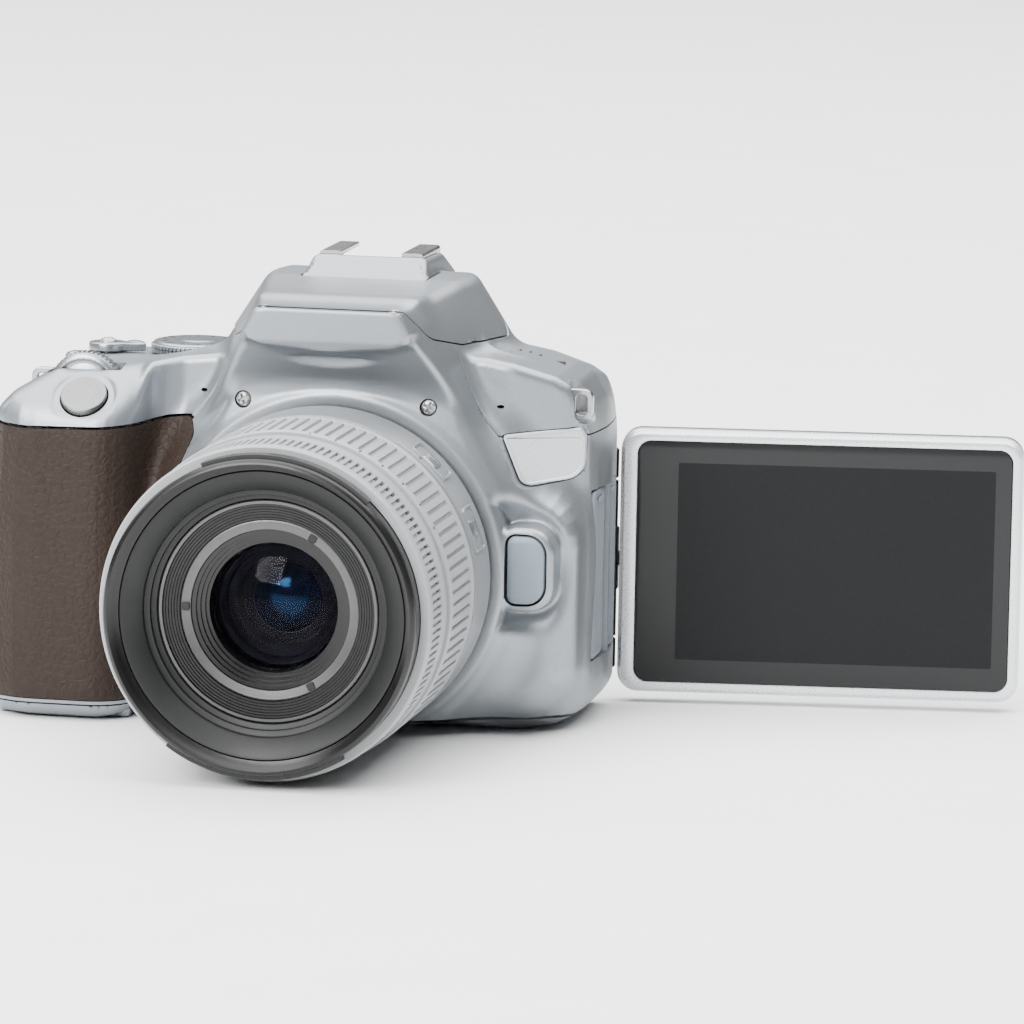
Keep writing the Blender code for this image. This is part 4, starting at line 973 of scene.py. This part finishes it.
    # Index marks at the edge of the zoom ring.
    for k in range(7):
        turn = about_lens(28 + 9 * k)
        prism(f"zoom_mark_{k}", frame_outline(-84.0, -82.8, -0.22, 0.22, 0.1, 2), "X", 32.8, 33.03,
            "zoom_grip", MARK, 0, place=turn)
    turn = about_lens(50)
    prism("zoom_index", frame_outline(-60.4, -58.9, -0.3, 0.3, 0.15, 2), "X", 32.8, 33.04, "body", MARK, 0,
        place=turn)


def coated(name, tint, film):
    """Dark coated glass, its reflections tinted by a thin film."""
    n = Nodes(name)
    smear = n.noise(60, 3)
    n.colour(n.ramp(smear, [(0.3, tint), (0.8, tuple(c * 1.5 for c in tint))]))
    n.rough(n.span(smear, 0.02, 0.06, 0.4, 0.8))
    return n.set(Specular_Tint=(*film, 1), Specular_IOR_Level=0.6).mat


def make_screen():
    """The screen's frame, shell, glass and display, open beside the body."""
    hx, hy = HINGE_AT
    place = Matrix.Translation((hx, hy, 0)) @ Matrix.Rotation(SCREEN_TURN, 4, "Z")
    x0, x1, z0, z1 = 3.0, 84.6, SCREEN_Z - 27, SCREEN_Z + 27
    outline = frame_outline(x0, x1, z0, z1, 4.2, 10)
    window = frame_outline(x0 + 3.4, x1 - 2.2, z0 + 2.2, z1 - 2.2, 2.8, 10)
    bright = ("silver_plastic", paint("screen_frame_paint", 0.72, 0.45, 0.3, 0.015, -0.03, 0.002))

    def row(line, by, y):
        return on_plane(inset(line, by), "Y", y)

    loft("screen_frame", [row(outline, 0.0, -0.7), row(outline, 0.0, -2.0), row(outline, 0.12, -2.35),
        row(outline, 0.45, -2.55), row(outline, 0.62, -2.7), row(outline, 0.66, -3.1),
        row(outline, 0.8, -3.38), row(outline, 1.1, -3.5), row(window, -0.5, -3.5),
        row(window, -0.1, -3.46), row(window, 0.0, -3.3), row(window, 0.0, -1.7), row(window, 0.6, -0.7)],
        "screen", bright, ("screen_front_frame",), loop=True, place=place)
    shell = plate_rows((x0, x1, z0, z1, 4.2), "Y", (
        (-0.55, 0.35), (-0.45, 0.1), (-0.2, 0), (1.9, 0), (2.7, 0.25), (3.25, 0.8), (3.5, 1.7), (3.5, 5.0),
        (3.35, 5.2), (3.35, 5.6), (3.5, 5.8)), 10)
    loft("screen_shell", shell, "screen", SILVER, ("screen_back_shell",), place=place)
    n = Nodes("screen_glass_face")
    smear = n.noise(22, 4)
    n.colour(n.ramp(smear, [(0.3, (0.0165, 0.017, 0.0175)), (0.8, (0.019, 0.0195, 0.02))]))
    n.rough(n.span(smear, 0.09, 0.15, 0.35, 0.75))
    n.set(Specular_IOR_Level=0.16)
    loft("screen_cover_glass", [
        row(window, 0.1, -1.9), row(window, 0.1, -3.15), row(window, 0.25, -3.3), row(window, 0.5, -3.34),
    ], "screen", ("dark_glass", n.mat), ("screen_glass",), place=place)
    m = Nodes("display_face")
    m.colour(m.ramp(m.cells(4200), [(0.1, (0.0085, 0.009, 0.0095)), (0.7, (0.011, 0.0115, 0.012))]))
    m.rough(m.span(m.noise(30, 3), 0.16, 0.24, 0.3, 0.7))
    m.set(Specular_IOR_Level=0.07)
    area = frame_outline(x0 + 11.8, x1 - 5.6, z0 + 7.0, z1 - 6.6, 0.3, 2)
    loft("display_area", [on_plane(area, "Y", -3.2), on_plane(area, "Y", -3.36)], "screen",
        ("dark_glass", m.mat), place=place)


make_lens()
make_screen()


def make_dials():
    """The controls on the top."""
    at, way = SHUTTER_AT, SHUTTER_WAY
    spun = ("spun_metal", spun_material("turned_button", at, way, 0.19, 0.28, 5200))
    turned("shutter_cap", [(0, 0.1), (1.6, 0.14), (3.2, 0.28), (4.0, 0.48), (4.3, 0.52), (4.52, 0.42),
        (4.62, 0.2), (4.65, -0.2), (4.65, -3.0), (0, -3.0)], at, way, "shutter_key", spun, 96,
        ("shutter_button",))
    turned("shutter_well", [(0, -4.8), (4.85, -4.8), (4.85, -5.2), (0, -5.2)], at, way, "body", BLACK, 48)
    # The main dial: a smooth face with a fine knurl behind it.
    half = 2.3
    turned("main_dial_wheel", [(0, -half), (4.8, -half), (5.2, -half + 0.25), (5.8, -half + 0.25),
        (6.2, -half), (6.9, -half + 0.1), (7.35, -half + 0.5), (7.4, -half + 1.0), (7.2, -half + 1.15, 0),
        (7.5, -half + 1.4, 0.32), (7.5, half - 0.6, 0.32), (7.2, half - 0.25, 0), (6.8, half), (0, half)],
        MAIN_DIAL_AT, BACK, "front_dial", SILVER, replace=("main_dial",), tooth=(48, KNURL))
    x, y = MODE_DIAL_AT
    turned("mode_dial_wheel", [(0, 2.7), (8.3, 2.7), (8.75, 2.6), (8.95, 2.4), (8.95, 2.25), (9.1, 2.15, 0),
        (9.45, 2.05, 0.35), (9.45, 1.45, 0.35), (9.1, 1.35, 0), (8.9, 1.28), (9.1, 1.2, 0),
        (9.5, 1.12, 0.35), (9.5, 0.5, 0.35), (9.2, 0.4, 0), (9.0, 0.3), (0, 0.3)], (x, y, MODE_DIAL_SEAT),
        UP, "exposure_dial", SILVER, replace=("mode_dial",), tooth=(64, KNURL))
    top = MODE_DIAL_SEAT + 2.7
    for k in range(14):
        a = 2 * math.pi * k / 14
        turn = Matrix.Translation((x, y, 0)) @ Matrix.Rotation(a, 4, "Z")
        reach = 0.55 if k % 3 else 0.9
        prism(f"dial_mark_{k}", frame_outline(6.9 - reach, 6.9 + reach, -0.3, 0.3, 0.25, 3), "Z", top - 0.1,
            top + 0.06, "exposure_dial", MARK, 0, place=turn)
    turned("dial_boss", [(0, 0.14), (3.4, 0.14), (3.6, 0.04), (3.6, -0.2), (0, -0.2)], (x, y, top), UP,
           "exposure_dial", SILVER, 48)
    x, y = SWITCH_AT
    lever = []
    for k in range(25):
        a = math.radians(24 + 312 * k / 24)
        lever.append((x + 3.9 * math.cos(a), y + 3.9 * math.sin(a)))
    lever += [(x + 6.4, y - 0.75), (x + 7.8, y - 0.25), (x + 7.8, y + 0.25), (x + 6.4, y + 0.75)]
    z = DECK + 0.35
    loft("power_lever_disc", [on_plane(inset(lever, i), "Z", h) for h,
        i in ((z, 0.25), (z + 0.2, 0), (z + 1.3, 0), (z + 1.55, 0.12), (z + 1.65, 0.3))], "power_lever",
        SILVER, ("power_switch",))
    turned("power_lever_hub", [(0, 2.95), (0.9, 2.85), (1.5, 2.5), (1.85, 2.0), (1.9, 1.5), (1.9, -3.5),
        (0, -3.5)], (x, y, DECK), UP, "power_lever", SILVER, 40)
    for name, place in TOP_KEYS.items():
        turned(name + "_cap", [(0, 1.25), (1.2, 1.15), (2.0, 0.85), (2.35, 0.4), (2.4, 0.0), (2.4, -3.6),
            (0, -3.6)], (*place, DECK), UP, name + "_key", SILVER, 48, (name + "_button",))


def make_rear_keys():
    """The controls on the back, and the eyecup."""
    for name, x, z, r in REAR_KEYS:
        turned(name + "_cap", [(0, 0.95), (r * 0.5, 0.9), (r - 0.5, 0.7), (r - 0.15, 0.4), (r, 0),
            (r, -4.5), (0, -4.5)], (x, REAR_FACE, z), BACK, name + "_key", BLACK, 48, (name + "_button",))
    x, z = CROSS_AT
    turned("cross_pad", [(3.75, -4.5), (3.75, 0.2), (4.0, 0.45), (5.5, 0.6), (7.2, 0.75), (8.4, 0.7),
        (8.85, 0.45), (9.0, 0), (9.0, -4.5)], (x, REAR_FACE, z), BACK, "cross_key_ring", BLACK, 96,
        ("cross_keys",))
    for k in range(4):
        turn = Matrix.Translation((x, 0, z)) @ Matrix.Rotation(k * math.pi / 2, 4, "Y")
        prism(f"cross_arrow_{k}", [(-0.7, 6.6), (0.7, 6.6), (0, 7.6)], "Y", 13.6, 13.84, "cross_key_ring",
              SILVER, 0, place=turn)
    turned("set_cap", [(0, 0.85), (2.0, 0.9), (3.0, 0.8), (3.35, 0.4), (3.4, 0), (3.4, -4.5), (0, -4.5)],
        (x, REAR_FACE, z), BACK, "set_key", BLACK, 64, ("set_button",))
    turned("dioptre_wheel_cap", [(0, 0.6), (1.9, 0.6), (2.1, 0.45, 0), (2.3, 0.2, 0.25), (2.3, -3.4, 0.25),
        (0, -3.4)], DIOPTRE_AT, BACK, "dioptre_wheel", BLACK, replace=("dioptre_dial",), tooth=(20, KNURL))

    def frame_ring(w, h, r, y):
        return [(u, y, v + 74.5) for u, v in frame_outline(-w, w, -h, h, r, 8)]

    loft("eyecup_rubber", [
        frame_ring(13.9, 9.6, 3.6, 13.35), frame_ring(14.4, 10.1, 4, 13.9), frame_ring(14.4, 10.1, 4, 17.6),
        frame_ring(14.1, 9.8, 4, 18.7), frame_ring(13.2, 9.0, 3.8, 19.4), frame_ring(12.0, 8.2, 3.4, 19.55),
        frame_ring(10.6, 7.2, 2.8, 19.2), frame_ring(9.6, 6.4, 2.2, 18.2), frame_ring(9.2, 6.1, 2.0, 15.0),
        frame_ring(9.2, 6.1, 2.0, 13.35)], "body", BLACK_RUBBER, ("eyecup",), loop=True)


def cross_recess(name, at, mirror):
    """A domed screw with a cross recess, turned its own way on each side."""
    screw = turned(name, [(0, -0.62), (0.8, -0.56), (1.25, -0.4), (1.5, -0.1), (1.5, 0.9), (0, 0.9)], at,
        BACK, "body", SCREW, 40, (mirror,))
    arm, half, cross = 1.12, 0.25, []
    spin = 0.35 if at[0] < 0 else 1.1
    for k in range(4):
        a = spin + k * math.pi / 2
        c, s = math.cos(a), math.sin(a)
        for u, v in ((arm, -half), (arm, half), (half, half)):
            cross.append((at[0] + u * c - v * s, at[2] + u * s + v * c))
    return carve(screw, cross, "Y", at[1] - 2, at[1] + 0.45)


def make_fittings():
    """Screws, shoe, lugs, badge, release key, flaps, battery door, tripod bush, flash and hinge."""
    for side, name in ((-1, "left"), (1, "right")):
        cross_recess(f"screw_head_{name}", (side * SCREW_X, -40.9, SCREW_Z), f"front_screw_{name}")
    # Hot shoe: a floor plate with a rail turned inwards along each side.
    out, lip, low, top = 10.6, 6.2, 88.75, 92.55
    section = [
        (-out, low, 0.3), (out, low, 0.3), (out, top, 0.6), (lip, top, 0.2), (lip, top - 0.95, 0.2),
        (out - 1.1, top - 0.95, 0.3), (out - 1.1, low + 0.7, 0.2), (-out + 1.1, low + 0.7, 0.2),
        (-out + 1.1, top - 0.95, 0.3), (-lip, top - 0.95, 0.2), (-lip, top, 0.2), (-out, top, 0.6)]
    prism("shoe_rails", rounded(section, 3), "Y", -10.7, 6.1, "body", STEEL, 0, ("hot_shoe",))
    for k, (u, v) in enumerate(((0, -2.5), (-3.6, 1.6), (3.6, 1.6), (-3.6, -5), (3.6, -5))):
        turned(f"shoe_contact_{k}", [(0, 0.2), (0.7, 0.18), (0.95, 0.05), (0.95, -0.2), (0, -0.2)],
            (u, v, 89.5), UP, "body", STEEL, 24)
    for name, x_in, x_out, y, z in (("right", 40.8, 48.0, -20.0, 66.0), ("left", -63.8, -70.2, -8.0, 63.8)):
        side = math.copysign(1, x_out)
        lug = rounded([(x_in, z - 4.0, 0.2), (x_out, z - 4.0, 1.8), (x_out, z + 2.4, 1.8),
            (x_in, z + 2.4, 0.2)], 5)
        piece = prism(f"lug_{name}", lug, "Y", y - 2.5, y - 1.0, "body", STEEL, 0.3, (f"strap_lug_{name}",))
        a, b = sorted((x_out - side * 3.4, x_out - side * 1.2))
        carve(piece, rounded([(a, z - 2.8, 0.8), (b, z - 2.8, 0.8), (b, z + 1.2, 0.8), (a, z + 1.2, 0.8)],
            4), "Y", y - 6, y + 4)
    plate = []
    for y, by in ((-31.6, 0), (-33.3, 0), (-33.5, 0.1), (-33.6, 0.3), (-33.6, 0.55), (-33.45, 0.7),
        (-33.45, 0.8)):
        plate.append([(u, y + badge_plane(u, v), v) for u, v in inset(BADGE, by)])
    loft("badge_blank", plate, "body", ("silver_plastic",
        paint("badge_paint", 0.6, 0.3, 0.3, 0.02, -0.03, 0.004)), ("badge_plate",))
    key = [[(u, y, v) for u, v in inset(RELEASE, i)] for y, i in (
        (-31, 0.1), (-40.9, 0.1), (-41.6, 0.28), (-42.0, 0.75), (-42.1, 1.5))]
    loft("release_cap", key, "lens_release_key", LAVENDER, ("lens_release_button",))
    for name, body, y0, y1 in (("front", "jack_cover_front_flap", -23.0, -12.0),
                               ("rear", "jack_cover_rear_flap", -10.6, 0.4)):
        loft(f"jack_flap_{name}", plate_rows((y0, y1, 14, 48, 2.0), "X",
            ((48.0, 0), (48.5, 0), (48.75, 0.12), (48.9, 0.4), (48.9, 1.4), (48.75, 1.55), (48.75, 1.9),
            (48.9, 2.05))), body, RUBBER, (f"jack_cover_{name}",))
        prism(f"jack_pull_{name}", frame_outline(y0 + 3.2, y1 - 3.2, 45.2, 46.4, 0.5, 4), "X", 48.8, 49.25,
            body, RUBBER, 0.2)
    loft("battery_lid", plate_rows((-69.2, -42.3, -37.7, 2.2, 1.2), "Z",
        ((2.6, 0), (0.6, 0), (0.35, 0.12), (0.3, 0.35), (0.3, 0.9), (0.5, 1.05), (0.5, 1.5), (0.3, 1.65))),
        "door", SILVER, ("battery_door",))
    line = frame_outline(-66.0, -62.7, -21.7, -12.3, 0.8, 4)
    loft("latch_slider", [on_plane(inset(line, i), "Z", z) for z, i in ((1.4, 0), (0.4, 0), (0.22, 0.2))],
        "door_latch", BLACK, ("battery_latch",))
    for k in range(4):
        prism(f"latch_grip_{k}", frame_outline(-65.4, -63.3, -20 + 1.7 * k, -19.4 + 1.7 * k, 0.2, 2), "Z",
            0.08, 0.3, "door_latch", BLACK, 0)
    ring = [(3.1 if k % 2 else 2.85, 0.4 + 0.35 * k) for k in range(16)]
    turned("tripod_bush", [(5.9, 0.25), (5.6, 0.05), (3.3, 0.05), *ring, (3.1, 6.2), (6.0, 6.2),
        (6.0, 0.4)], TRIPOD_AT, UP, "body", STEEL, 72, ("tripod_socket",))
    # Three short marks and a bar on the right shoulder, each seated on the cover below it.
    heights = np.arange(60, 90, 0.02, dtype=np.float32)
    for k, (u, v, half) in enumerate(((31.2, -12.4, 0.5), (33.2, -12.0, 0.75), (35.2, -11.8, 0.5),
        (39.0, -11.6, 1.3))):
        seat = heights[outer_skin(np.float32(u), np.float32(v), heights) < 0].max()
        spot = (u - half, u + half, v - 0.25, v + 0.25) if k == 3 else (u - 0.2, u + 0.2, v - half,
            v + half)
        prism(f"shoulder_mark_{k}", frame_outline(*spot, 0.15, 2), "Z", seat - 0.5, seat + 0.22, "body",
              MARK, 0)
    # Finger tabs of the flash, one at each end of its front edge, sunk in the hood.
    for side, name in ((-1, "left"), (1, "right")):
        turned(f"flash_tab_{name}", [(0, 0.9), (0.9, 0.8), (1.6, 0.45), (1.9, 0), (1.9, -1.4), (0, -1.4)],
               (side * 18.3, -37.6, 80.7), (side * 0.75, -0.5, 0.3), "flash", SILVER, 32)
    # The flash's lamp: a black tray under the hood and a ribbed window in it.
    prism("flash_tray", rounded([(-15, -41.5, 1.5), (15, -41.5, 1.5), (16.5, -26, 1.5), (-16.5, -26, 1.5)],
        4), "Z", 81.9, 83.6, "flash", BLACK, 0.2)
    window = [(-39.6, 82.3)]
    for k in range(14):
        v = -39.6 + 0.9 * k
        window += [(v, 81.55), (v + 0.65, 81.3)]
    clear = Nodes("flash_window_plastic")
    haze = clear.noise(200, 3)
    clear.greys(haze, 0.55, 0.62).rough(clear.span(haze, 0.12, 0.2, 0.3, 0.7))
    prism("flash_window", window + [(-27.0, 81.55), (-27.0, 82.3)], "X", -12.5, 12.5, "flash",
        ("clear_glass", clear.mat), 0)
    hx, hy = HINGE_AT
    for k, low in enumerate((SCREEN_Z - 22.6, SCREEN_Z + 16.4)):
        turned(f"hinge_knuckle_{k}", [(1.0, 0), (2.1, 0), (2.5, 0.35), (2.5, 5.9), (2.1, 6.25),
            (1.0, 6.25)], (hx, hy, low), UP, "body", BLACK, 40)
        prism(f"hinge_leaf_{k}", [(hx - 1.9, 7.3), (hx + 1.9, 7.3), (hx + 1.9, hy), (hx - 1.9, hy)], "Z",
            low + 0.2, low + 6.0, "body", BLACK, 0.3)
    prism("hinge_block", [(hx - 1.8, hy - 1.4), (hx + 2.7, hy - 1.4), (hx + 2.7, hy + 1.4),
        (hx - 1.8, hy + 1.4)], "Z", SCREEN_Z - 6.5, SCREEN_Z + 6.5, "screen_arm", BLACK, 0.4)


def finish_nodes():
    """Gives every CAD part that stays a finish of its own."""
    board = Nodes("circuit_board")
    tracks = board.cells(900, output="Color", at=board.stretched((1, 1, 0.35)))
    board.colour(board.ramp(tracks, [(0.3, (0.006, 0.06, 0.03)), (0.62, (0.01, 0.1, 0.05)),
        (0.8, (0.2, 0.16, 0.05))]))
    board.rough(board.span(tracks, 0.3, 0.5)).bump(tracks, 0.05)
    mirror = metal("mirror_face", 0.85, 0.1, 0.001)
    dark = glass_material("finder_glass", (0.02, 0.022, 0.026))
    sensor = glass_material("sensor_glass", (0.012, 0.03, 0.035))
    ground = plastic("ground_screen", 0.55, 0.6, 0.0, 0.01, 5000)
    steel, black = STEEL[1], BLACK[1]
    looks = {"mount_ring": steel, "hinge_pin": steel, "screen_hinge": black, "eyepiece_lens": dark,
        "battery": black, "memory_card": black, "mirror_box": black, "focusing_screen": ground,
        "pentamirror": black, "shutter_unit": black, "image_sensor": sensor, "main_board": board.mat,
        "rear_element": dark, "reflex_mirror": mirror}
    for name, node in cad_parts.items():
        if node.hide_render:
            continue
        look = looks.pop(name)
        if node.material_slots:
            for slot in node.material_slots:
                slot.link = "OBJECT"
                slot.material = look
        else:
            node.data.materials.append(look)


make_dials()
make_rear_keys()
make_fittings()
finish_nodes()


# ---- stage ----------------------------------------------------------------------------


def make_camera():
    """A long lens, a little to the object's own left and above."""
    azimuth, height, roll = math.radians(11.30), math.radians(8.76), math.radians(1.06)
    sa, ca, se, ce = math.sin(azimuth), math.cos(azimuth), math.sin(height), math.cos(height)
    away = Vector((sa * ce, -ca * ce, se))
    right, up = Vector((ca, sa, 0)), Vector((-sa * se, ca * se, ce))
    r2 = right * math.cos(roll) + up * math.sin(roll)
    u2 = up * math.cos(roll) - right * math.sin(roll)
    target, distance = Vector((31.58, -20, 42.70)), 1472.3
    at = (target + away * distance) * MM
    data = bpy.data.cameras.new("camera")
    data.lens, data.sensor_width = 259.55, 36.0
    data.clip_start, data.clip_end = 0.05, 20
    camera = bpy.data.objects.new("camera", data)
    camera.matrix_world = Matrix((
        (r2.x, u2.x, away.x, at.x), (r2.y, u2.y, away.y, at.y), (r2.z, u2.z, away.z, at.z), (0, 0, 0, 1)))
    bpy.context.scene.collection.objects.link(camera)
    bpy.context.scene.camera = camera


def lamp(name, at, target, size, power):
    """A soft light that faces a point."""
    data = bpy.data.lights.new(name, "AREA")
    data.shape = "RECTANGLE"
    data.size, data.size_y = size
    data.energy = power
    obj = bpy.data.objects.new(name, data)
    obj.location = at
    obj.rotation_euler = (Vector(target) - Vector(at)).to_track_quat("-Z", "Y").to_euler()
    bpy.context.scene.collection.objects.link(obj)


def make_stage():
    """A pale floor, an even world and three soft lights."""
    n = Nodes("floor_sheet")
    n.greys(n.noise(30, 2), 0.84, 0.86).set(Roughness=0.9)
    mesh = bpy.data.meshes.new("floor")
    mesh.from_pydata([(-6, -6, 0), (6, -6, 0), (6, 6, 0), (-6, 6, 0)], [], [(0, 1, 2, 3)])
    mesh.materials.append(n.mat)
    floor = bpy.data.objects.new("floor", mesh)
    bpy.context.scene.collection.objects.link(floor)
    world = bpy.data.worlds.new("studio")
    world.use_nodes = True
    world.node_tree.nodes["Background"].inputs[0].default_value = (1, 1, 1, 1)
    world.node_tree.nodes["Background"].inputs[1].default_value = 0.1
    bpy.context.scene.world = world
    lamp("key", (-0.45, -1.25, 0.85), (0, -0.02, 0.04), (0.8, 0.8), 44)
    lamp("rim", (-1.3, 0.3, 0.7), (0, 0, 0.05), (0.5, 0.5), 6)
    lamp("top", (0.0, 0.55, 1.7), (0.0, 0.55, 0.0), (3.0, 3.4), 235)


make_camera()
make_stage()
bpy.context.view_layer.update()
